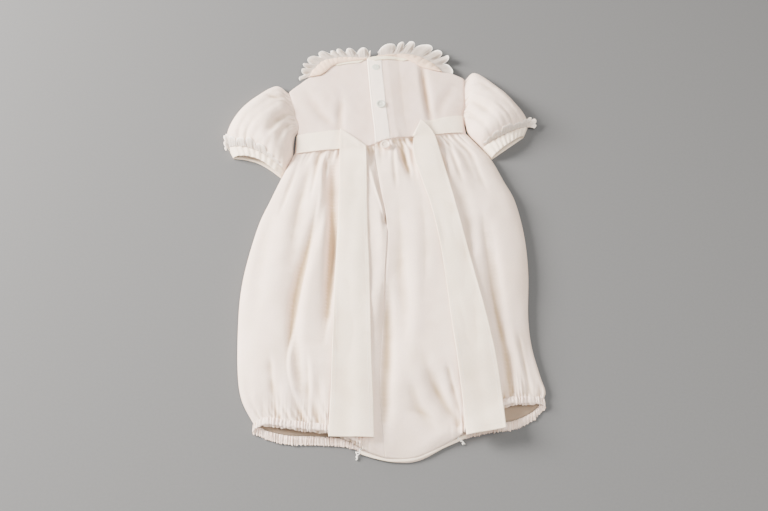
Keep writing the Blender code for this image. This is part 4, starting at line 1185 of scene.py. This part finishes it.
# each half: neck edge and its span in x, root, ruffle's free edge, number of waves, phase, seed
COLLARS = {
    "left": (TOP_LEFT, COLLAR_LEFT_SPAN, COLLAR_LEFT_ROOT, RUFFLE_LEFT_EDGE, 9, 0.6, 31),
    "right": (TOP_RIGHT, COLLAR_RIGHT_SPAN, COLLAR_RIGHT_ROOT, RUFFLE_RIGHT_EDGE, 7, 2.2, 37),
}
COLLAR_GAP = 0.45         # from the neck edge to the collar, mm
COLLAR_CORNER = -65       # x of the neck's corner, which the collar passes a little farther out
COLLAR_OVER = 2.6         # how far the collar hides the neck edge, mm
ROOT_OVER = 3.4           # how far it hides the root of its ruffle, mm
COLLAR_Z_ROOT = 7.6       # height of that root, mm


def upward(path):
    """Unit direction square to a path, towards larger y."""
    ahead = heading(path)
    away = np.column_stack([-ahead[:, 1], ahead[:, 0]])
    away[away[:, 1] < 0] *= -1
    return away


def collar(side):
    """Turned-out half of the collar, a strip 17 rows wide."""
    top, span, root, _, waves, phase, seed = COLLARS[side]
    t = np.linspace(0, 1, 121)
    run = part_of(top, share_at(top, 0, span[0]), share_at(top, 0, span[1]), 13)
    inner, outer = spline(run, t), spline(root, t)
    away = upward(inner)
    neck_z = bodice_height(inner[:, 0], inner[:, 1]) - 0.5 * WALL
    if side == "right":
        neck_z = neck_z + lap_lift(inner[:, 0], inner[:, 1])
    neck_z = neck_z + 1.3
    corner = np.exp(-((inner[:, 0] - COLLAR_CORNER) / 7) ** 2)
    inner = inner + away * (COLLAR_GAP + corner)[:, None]
    inner = inner - away * (COLLAR_OVER * np.sin(math.pi * np.clip(t, 0.02, 0.98)) ** 0.5)[:, None]
    outer = outer - away * ROOT_OVER
    grid = []
    for w in np.linspace(0, 1, 17):
        xy = inner + (outer - inner) * w
        z = neck_z * (1 - w) + (COLLAR_Z_ROOT - 1.6 * t ** 2) * w + 1.5 * math.sin(math.pi * w) ** 0.7
        z = z + 0.35 * unevenness(xy[:, 0], xy[:, 1], 13, seed) * math.sin(math.pi * w)
        z = z - 0.5 * w * np.clip(np.sin(2 * math.pi * waves * 1.5 * t + phase), 0, 1)
        grid.append(np.column_stack([xy, z]))
    grid = np.array(grid)
    if side == "right":
        grid = grid[::-1]
    cloth("collar_" + side, grid, collar_cotton, "cotton", (95, 13), "folded", 0.82,
          ("bodice_back_" + side,), wall=0.9, offset=0.0, warm=0.15)


collar("left")
collar("right")

# %% [markdown]
# ## Ruffles
#
# Each half of the collar carries a gathered ruffle that has been crushed into loops: wide round
# tops and narrow valleys between them. A thin rolled hem runs along its free edge as a round thread.

# %% Ruffles
RUFFLE_Z = 6.8            # height of the free edge, mm
RUFFLE_DEPTH = 1.7        # rise and fall of the loops, mm
RUFFLE_LOOPS = {"left": 0.4, "right": 0.53}    # share of a ruffle's width that its loops add
RUFFLE_LENGTH = 110.0     # length of a ruffle's root, mm


def ring_faces(count, sides, first=0):
    """Faces between count rings of points and over both ends; first is the number of the first point."""
    faces = [(first + r * sides + q, first + r * sides + (q + 1) % sides,
              first + (r + 1) * sides + (q + 1) % sides, first + (r + 1) * sides + q)
             for r in range(count - 1) for q in range(sides)]
    last = first + (count - 1) * sides
    return faces + [tuple(range(first, first + sides))[::-1], tuple(range(last, last + sides))]


def tube(name, path, radius, sides=6):
    """Round thread along a path in table millimetres, closed at both ends."""
    path = np.asarray(path, dtype=float)
    ahead = heading(path)
    side = np.cross(ahead, [0.13, 0.21, 0.97])
    side /= np.linalg.norm(side, axis=1)[:, None]
    up = np.cross(side, ahead)
    a = 2 * math.pi * np.arange(sides) / sides
    rounds = path[:, None] + radius * (np.cos(a)[:, None] * side[:, None] + np.sin(a)[:, None] * up[:, None])
    finished(new_object(name, rounds, ring_faces(len(path), sides), thread), "ruffle_cotton")


def ruffle(side):
    """Ruffle from the root of a collar half to its free edge, in loops."""
    _, _, root, edge, waves, phase, seed = COLLARS[side]
    t = np.linspace(0, 1, 401)
    inner, outer = spline(root, t), spline(edge, t)
    inner = inner - upward(inner) * ROOT_OVER
    direction = outer - inner
    length = np.linalg.norm(direction, axis=1)[:, None]
    direction /= length
    tangent = heading(outer)
    inner = inner + direction * 0.4
    turn = (2 * math.pi * waves * t + phase + 1.3 * np.sin(2 * math.pi * 2.3 * t + phase)
            + 0.5 * np.sin(2 * math.pi * 5.1 * t + seed))
    size = 0.98 + 0.16 * np.sin(2 * math.pi * 1.7 * t + seed)
    size = size + 0.14 * np.sin(2 * math.pi * 4.6 * t + 2 * seed)
    crown = np.abs(np.cos(turn / 2)) ** 0.5
    pitch = RUFFLE_LENGTH / waves / (2 * math.pi)
    rows = []
    for w in np.linspace(0, 1, 19):
        reach = length[:, 0] * w * (0.42 + RUFFLE_LOOPS[side] * size * crown)
        slide = pitch * (0.4 * np.sin(turn) + 0.1 * np.sin(2 * turn + seed)) * w ** 1.1
        xy = inner + direction * reach[:, None] + tangent * slide[:, None]
        height = COLLAR_Z_ROOT + (RUFFLE_Z - COLLAR_Z_ROOT) * w - 1.6 * t ** 2
        lean = RUFFLE_DEPTH * size * (np.cos(turn) + 0.5 * np.sin(turn)) * w ** 1.2
        fine = 0.5 * np.sin(3.3 * turn + seed) * w * (1.2 - w) + 0.3 * np.sin(6.1 * turn) * w * (1.1 - w)
        rows.append(np.column_stack([xy, np.maximum(height + lean + fine, FLOOR_MID)]))
    grid = np.array(rows)
    # the outer rows are lighter: partly the rolled hem, partly a painted highlight on the rim
    hem_and_highlight = np.repeat(np.linspace(0, 1, 19)[:, None] ** 7, len(t), axis=1)
    if side == "right":
        grid, hem_and_highlight = grid[::-1], hem_and_highlight[::-1]
    cloth("collar_ruffle_" + side, grid, frill_cotton, "ruffle_cotton", (130, 14), "gathered", 0.93,
          ("collar_" + side,), wall=0.45, offset=0.0, layers_and_highlight=hem_and_highlight)
    tube("ruffle_hem_" + side, rows[-1], 0.5)


ruffle("left")
ruffle("right")

# %% [markdown]
# ## Neck facings
#
# The neck edge is bound inside with a narrow strip, which shows between the collar and the bodice.

# %% Neck facings


def facing(side, top, start, end, width):
    """Narrow facing just inside the neck edge of a back half."""
    t = np.linspace(0, 1, 61)
    line = spline(part_of(top, share_at(top, 0, start), share_at(top, 0, end), 9), t)
    line = line[np.argsort(line[:, 0])]
    ends = np.clip(6 * np.minimum(t, t[::-1]), 0.05, 1) ** 0.7
    rows = []
    for w in np.linspace(0, 1, 7):
        y = line[:, 1] - 0.2 - width * w * ends
        z = bodice_height(line[:, 0], y) + 0.45 + 0.25 * math.sin(math.pi * w)
        if side == "right":
            z = z + lap_lift(line[:, 0], y) + 0.35
        rows.append(np.column_stack([line[:, 0], y, z]))
    cut, share = (abs(end - start) + 4, 10), max(0.32, 1.1 * width / 10)
    cloth("neck_facing_" + side, np.array(rows), facing_cotton, "cotton", cut, "folded", share,
          ("bodice_back_" + side,), wall=0.5, offset=0.0, solid=False)


facing("left", TOP_LEFT, start=-54, end=-17, width=4.6)
facing("right", TOP_RIGHT, start=-13.5, end=34, width=6.2)

# %% [markdown]
# ## Sashes
#
# A tie comes out of each side seam, lies along the waist, folds over on itself and hangs down the
# back. It is one hemmed strip that widens to its end, so it is laid as one strip here too: it
# bridges the small gathers and follows the large folds.

# %% Sashes
# rows along a sash: x and y of one edge, x and y of the other, and the height over what lies below
SASH_LEFT_ROWS = (
    (-91.5, 122, -91.5, 98, 0.0),
    (-72, 124, -72, 99, 0.0),
    (-54, 126, -50, 100.5, 0.0),
    (-47.5, 126.8, -30, 101.5, 0.0),
    (-43.5, 127, -15, 102.4, 0.0),
    (-42.6, 127.9, -14.1, 103.3, 0.95),
    (-43.5, 127, -15, 102.4, 1.9),
    (-43.8, 119, -14.4, 97, 1.9),
    (-43.5, 103, -14, 86, 1.9),
    (-43.2, 80, -13.5, 70, 1.0),
    (-42.6, 40, -13, 38, 0.5),
    (-43, -5, -12, -6, 0.4),
    (-44, -50, -10, -50, 0.4),
    (-45, -100, -8.5, -100, 0.4),
    (-45.4, -150, -7, -150, 0.5),
    (-46, -195, -5, -195, 0.7),
    (-47, -216, -4.5, -216, 1.6),
    (-47, -231, -4, -231, 2.4),
)
SASH_RIGHT_ROWS = (
    (93, 149.5, 92.5, 126, 0.0),
    (74, 145.5, 74, 123, 0.0),
    (58, 141, 55, 119.5, 0.0),
    (47, 138.5, 38, 117, 0.0),
    (46.1, 138.9, 37.1, 117.4, 0.95),
    (47, 138.5, 38, 117, 1.9),
    (55, 130, 37, 109, 1.9),
    (61, 117, 36.5, 100, 1.9),
    (66, 92, 38, 83, 1.2),
    (73, 58, 45, 55, 0.6),
    (80, 25, 54, 22, 0.6),
    (89, -20, 62, -22, 0.6),
    (98, -65, 67, -67, 0.6),
    (107, -108, 71, -110, 0.6),
    (114, -150, 75.5, -152, 0.6),
    (117.5, -184, 79, -187, 0.7),
    (118.5, -203, 80.5, -209, 2.2),
    (119.5, -222, 82, -229, 2.8),
)
SASH_GAP = 0.7            # from what a sash lies on to the middle of its cloth, mm
SASH_WIDTH = 38
SASH_HEM = 4.5            # width of its turned-in hem, mm
HANGS_FROM = 7            # row of the tables from which a sash hangs free
sash_faces = {}


def under_sash(x, y):
    """Smooth height of what a sash lies on: it touches the ridges and bridges the gathers."""
    smooth = np.where(y > along(WAIST, 0, x), bodice_height(x, y),
                      skirt_dome(x, y) + 0.7 * creases(x, y, SKIRT_FOLDS)) + 0.3
    smooth = smooth + np.where(x > lap_edge_x(y) - 3, lap_lift(x, y), 0)
    return np.maximum(smooth, lapped_height(x, y) + 0.2)

def sash(side, rows, cut, seed):
    """Sash as one strip, from the side seam over its fold to the free end."""
    dense = np.linspace(0, 1, 321)
    table = row_values(rows, dense)
    w = np.linspace(0, 1, 41)
    x = table[:, 0:1] * (1 - w) + table[:, 2:3] * w
    y = table[:, 1:2] * (1 - w) + table[:, 3:4] * w
    bed = under_sash(x, y)
    for _ in range(6):
        bed = np.maximum(bed, blurred(bed, 1, 1))
    bed = blurred(bed, 4, 6)
    row = dense * (len(rows) - 1)
    tail = np.clip((row - HANGS_FROM) / 3, 0, 1)[:, None]
    from_edge = np.minimum(w, 1 - w) * SASH_WIDTH
    hem = 0.18 * np.clip(1 - from_edge / SASH_HEM, 0, 1) ** 0.7
    dent = -0.05 * np.exp(-((from_edge - 3.6) / 0.7) ** 2)
    ripple = tail * (0.8 * unevenness(x * 2.0, y * 0.35, 60, seed) + 0.35 * unevenness(x, y, 34, seed + 2))
    lift = tail * 0.9 * (np.clip(1 - 2 * w, 0, 1) ** 5) * (0.6 + 0.4 * unevenness(x * 0, y, 150, seed + 5))
    lift = lift - tail * 0.5 * np.clip(2 * w - 1, 0, 1) ** 3
    z = bed + SASH_GAP + table[:, 4:5] + hem + dent + ripple.clip(-0.5, 1.6) + lift
    end = np.clip((row - (len(rows) - 1) + 0.45) / 0.45, 0, 1)[:, None]
    sash_faces[side] = np.dstack([x, y, z + 0.35 * end])
    cloth("sash_" + side, sash_faces[side], sash_cotton, "sash_cotton", cut, "folded", 0.92,
          ("skirt_back_" + side, "bodice_back_" + side), wall=0.8, offset=0.0)


sash("left", SASH_LEFT_ROWS, (40, 420), seed=41)
sash("right", SASH_RIGHT_ROWS, (38, 425), seed=43)

# %% [markdown]
# ## Leg edges
#
# The leg is drawn up by elastic in a narrow casing, which pleats finely. Seen through the opening,
# the front's casing shows its inside. One band runs along the back's hem, turns at the outer corner
# and comes back along the front's.

# %% Leg edges
BAND_WIDTH = 9.0
LEG_LEFT_SPAN = (-17, -119)
LEG_RIGHT_SPAN = (82, 159)


def leg_band(side, hem, span, cut, seed):
    """Pleated band from the crotch out along the back's hem and back along the front's."""
    start, corner = span
    out = math.copysign(1.0, corner - start)
    x = np.linspace(start, corner - 4 * out, 14)
    y = along(hem, 0, x) + 0.5
    z = np.maximum(skirt_dome(x, y + 1) - 1.7, 2.0)
    upper = np.column_stack([x, y, z])
    turn = np.array([[corner + 0.6 * out, along(hem, 0, corner) - 5 * SEAM, 1.7]])
    x = np.linspace(corner - 4 * out, start, 14)
    y = along(HEM_FRONT, 0, x) - 2 * SEAM
    lower = np.column_stack([x, y, np.full(len(x), FLOOR_MID)])
    run = np.vstack([upper, turn, lower])
    length = float(np.sum(np.linalg.norm(np.diff(run, axis=0), axis=1)))
    t = np.linspace(0, 1, int(length * 2.8))
    sewn = spline(run, t)
    high = np.clip((sewn[:, 2] - 1.6) / 6, 0, 1)
    ripple = np.where(t < 0.5, pleat(sewn[:, 0]), pleat(1.45 * sewn[:, 0], seed))
    jag = pleat(1.9 * sewn[:, 0], seed + 2)
    grid = []
    for w in np.linspace(0, 1, 13):
        points = sewn.copy()
        curl = np.clip(w - 0.85, 0, 1) / 0.15
        width = BAND_WIDTH * (1 - 0.1 * high) + 0.7 * ripple + 1.1 * jag * (1 - high)
        points[:, 1] -= width * w - 0.6 * curl
        points[:, 0] += (0.35 * np.sin(sewn[:, 0] / 1.3) + 0.5 * np.sin(sewn[:, 0] / 4.7 + seed)) * w
        points[:, 2] += high * (1.3 * w + 1.1 * math.sin(math.pi * w)) - 1.0 * curl * high
        deep = 0.75 + 0.45 * math.sin(2 * math.pi * (w - 0.1))
        points[:, 2] += deep * np.where(high > 0.1, ripple, 1.15 + ripple)
        grid.append(points)
    grid = np.array(grid)
    grid[..., 2] = np.maximum(grid[..., 2], FLOOR_MID)
    cloth("leg_band_" + side, grid, band_cotton, "cotton", cut, "gathered", 1.0, ("skirt_front",),
          wall=0.6, offset=0.0)


leg_band("left", HEM_BACK_LEFT, LEG_LEFT_SPAN, (260, 13), seed=5.1)
leg_band("right", HEM_BACK_RIGHT, LEG_RIGHT_SPAN, (200, 13), seed=5.9)

# %% [markdown]
# ## Crotch
#
# Between the legs two straight edges lap, back over front. Each is a narrow double strip.

# %% Crotch
CROTCH_SPAN = (-18.0, 83.0)
x = np.linspace(*CROTCH_SPAN, 141)
y = along(HEM_BACK, 0, x) - CROTCH_DROP + 1.4
rows = []
for w in np.linspace(0, 1, 14):
    roll = 0.5 * math.sin(math.pi * w) ** 0.6
    z = 2.2 + roll - 0.5 * w + 0.15 * unevenness(x, 0 * x, 21, 6)
    rows.append(np.column_stack([x, y - 3.0 * w, z]))
cloth("crotch_back", np.array(rows), sash_cotton, "cotton", (104, 12), "laid", 0.34, ("crotch_front",),
      wall=0.9, offset=0.0)
y = along(HEM_FRONT, 0, x) - 2 * SEAM
rows = []
for w in np.linspace(0, 1, 8):
    rows.append(np.column_stack([x, y - 8 * w, FLOOR_MID + 0.3 * np.sin(0.4 * x) ** 2 * w]))
cloth("crotch_front", np.array(rows), band_cotton, "cotton", (100, 16), "laid", 0.5, ("skirt_front",),
      wall=0.9, offset=0.0)

# %% [markdown]
# ## Buttons
#
# Small cream buttons with a raised rim, a dished face and two holes. Each is turned from a disc: the
# face is inset and pushed down, the edges are rounded, and the holes are drilled.

# %% Buttons
BUTTON_RADIUS = 5.1
BUTTON_HEIGHT = 1.7
BUTTON_SUNK = 0.35        # how far a button is pressed into the cloth
RIM, SLOPE, RING = 1.5, 0.5, 1.2               # widths of the rim, its inner slope and the face's ring
DISH = 0.6                # depth of the face below the rim
HOLE_RADIUS, HOLE_OUT, HOLE_SIDES = 0.55, 0.95, 20


def drill(obj, x, y, z):
    """Cuts a round hole through a button at x, y; z is a height inside it, all in metres."""
    ring_xy = [(HOLE_RADIUS * math.cos(2 * math.pi * k / HOLE_SIDES),
                HOLE_RADIUS * math.sin(2 * math.pi * k / HOLE_SIDES)) for k in range(HOLE_SIDES)]
    hole = bpy.data.meshes.new("hole")
    spots = [(x + a * MM, y + b * MM, z + h) for h in (-2 * MM, 3 * MM) for a, b in ring_xy]
    hole.from_pydata(spots, [], ring_faces(2, HOLE_SIDES))
    tool = bpy.data.objects.new("hole", hole)
    bpy.context.collection.objects.link(tool)
    apply(obj, 'BOOLEAN', operation='DIFFERENCE', object=tool, solver='EXACT')
    bpy.data.objects.remove(tool)


def button(name, material):
    """Button in the place of its solid; gives back its centre."""
    low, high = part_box(name)
    z = low.z + (0.5 * BUTTON_HEIGHT - BUTTON_SUNK) * MM
    place = ((low.x + high.x) / 2, (low.y + high.y) / 2, z)
    bpy.ops.object.select_all(action='DESELECT')
    bpy.ops.mesh.primitive_cylinder_add(vertices=64, radius=BUTTON_RADIUS * MM, depth=BUTTON_HEIGHT * MM,
                                        location=place)
    obj = bpy.context.object
    obj.name = name + "_disc"
    bpy.ops.object.transform_apply(location=True, rotation=False, scale=False)
    for face in obj.data.polygons:
        face.select = face.normal.z > 0.9
    bpy.ops.object.mode_set(mode='EDIT')
    bpy.ops.mesh.select_mode(type='FACE')
    bpy.ops.mesh.inset(thickness=RIM * MM, depth=0)
    bpy.ops.mesh.inset(thickness=SLOPE * MM, depth=-DISH * MM)
    bpy.ops.mesh.inset(thickness=RING * MM, depth=-0.1 * MM)
    bpy.ops.object.mode_set(mode='OBJECT')
    for side in (-1, 1):
        drill(obj, place[0] + side * HOLE_OUT * MM, place[1], place[2])
    apply(obj, 'BEVEL', width=0.22 * MM, segments=3, limit_method='ANGLE')
    obj.data.materials.clear()
    obj.data.materials.append(material)
    finished(obj, "button", name)
    return place


BUTTONS = {"button_top": pearl, "button_middle": pearl, "button_waist": cream_button}
button_places = [button(name, material) for name, material in BUTTONS.items()]
print("buttons at", [[round(c * 1000, 1) for c in p] for p in button_places])

# %% [markdown]
# ## Stitching
#
# A machine stitch is a short dash of thread, 2 to 3 mm long, sunk at both ends. The dashes are laid
# along the placket, the lap's edge and the sash hems, all of one kind in one mesh. The buttons get
# two threads across their holes.

# %% Stitching
STITCH_AT = np.array([0.06, 0.25, 0.5, 0.75, 0.88])     # rings along one stitch, as shares of its pitch
STITCH_RISE = np.array([-0.18, 0.06, 0.1, 0.06, -0.18])
STITCH_SIDES = 6


def dashes(name, runs, pitch=2.6, radius=0.16):
    """One mesh of stitches along runs of points, in table millimetres; ends dip into the cloth."""
    verts, faces = [], []
    for run in runs:
        run = np.asarray(run, dtype=float)
        total = float(np.sum(np.linalg.norm(np.diff(run, axis=0), axis=1)))
        count = max(1, int(total / pitch))
        for k in range(count):
            line = spline(run, (k + STITCH_AT) / count)
            line[:, 2] += STITCH_RISE
            ahead = line[-1] - line[0]
            ahead /= np.linalg.norm(ahead)
            side = np.cross(ahead, [0, 0, 1.0])
            side /= np.linalg.norm(side)
            up = np.cross(side, ahead)
            faces += ring_faces(len(line), STITCH_SIDES, first=len(verts))
            for j, point in enumerate(line):
                thick = radius * (0.6 if j in (0, len(line) - 1) else 1.0)
                for q in range(STITCH_SIDES):
                    a = math.pi * q / 3
                    verts.append(point + thick * (math.cos(a) * side + math.sin(a) * up))
    finished(new_object(name, np.array(verts), faces, thread), "ruffle_cotton")


def on_lap(x, y, lift=0.05):
    """Points on the right half of the bodice."""
    return np.column_stack([x, y, over_lap(x, y) + lift])


def sash_runs(side):
    """Stitch lines a few millimetres in from the edges of a sash and above its end."""
    grid = sash_faces[side]
    start, end, inset = int(0.42 * len(grid)), len(grid) - 7, 4
    raised = grid + np.array([0.0, 0.0, 0.46])
    return [raised[start:end:4, inset], raised[start:end:4, -1 - inset], raised[end, inset:-inset:3]]


y = np.linspace(226, 113, 60)
placket = on_lap(along(LAP_EDGE, 1, y, 0) + PLACKET - 1.2, y)
edge_run = on_lap(along(LAP_EDGE, 1, y, 0) + 1.4, y)
dashes("placket_stitches", [placket, edge_run])
dashes("sash_stitches", sash_runs("left") + sash_runs("right"), pitch=2.4, radius=0.13)
holes = np.linspace(-1.3, 1.3, 5)
button_runs = [np.column_stack([p[0] / MM - SHIFT[0] + holes, p[1] / MM - SHIFT[1] + shift + 0 * holes,
                                p[2] / MM + 0.5 * BUTTON_HEIGHT - 0.55 + 0 * holes])
               for p in button_places for shift in (-0.2, 0.2)]
dashes("button_threads", button_runs, pitch=2.6, radius=0.17)

# %% [markdown]
# ## Thread tabs
#
# Two white thread tabs stick out at the ends of the crotch, each as two loose strands that wind.

# %% Thread tabs
TAB_RADIUS = 0.55
TABS = {
    "left": (((-13, -236, 3.2), (-18, -240, 2.6), (-19.5, -245, 1.4), (-22, -248, 0.9)),
             ((-14, -237, 3.4), (-19, -241, 2.4), (-21, -243, 1.8), (-20, -247.5, 0.9))),
    "right": (((73, -226, 3.2), (76.5, -229, 2.6), (78, -231, 1.6), (80.5, -232.5, 0.9)),
              ((74, -227, 3.4), (76, -230, 2.2), (79, -231, 1.6), (79.5, -234, 0.9))),
}
for side, strands in TABS.items():
    for k, strand in enumerate(strands):
        wind = np.linspace(0, 15 + 4 * k, 60)
        bent = spline(strand, np.linspace(0, 1, 60))
        bent += np.column_stack([0.9 * np.sin(wind), 0.7 * np.cos(wind + 1), 0.3 * np.sin(1.7 * wind)])
        tube("thread_tab_%s_%d" % (side, k), bent, TAB_RADIUS)

total = sum(len(p.vertices) - 2 for piece in made.values() for p in piece.data.polygons)
print("pieces", len(made), "triangles in all", total)

# %% [markdown]
# ## Sizes
#
# The box of the solids and the box of the finished cloth are kept side by side.

# %% Sizes
scene_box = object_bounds()
for axis, letter in enumerate("xyz"):
    for label, box in (("solids", cad_box), ("cloth", scene_box)):
        print(letter, label, [round(1000 * float(box[end][axis]), 1) for end in (0, 1)])
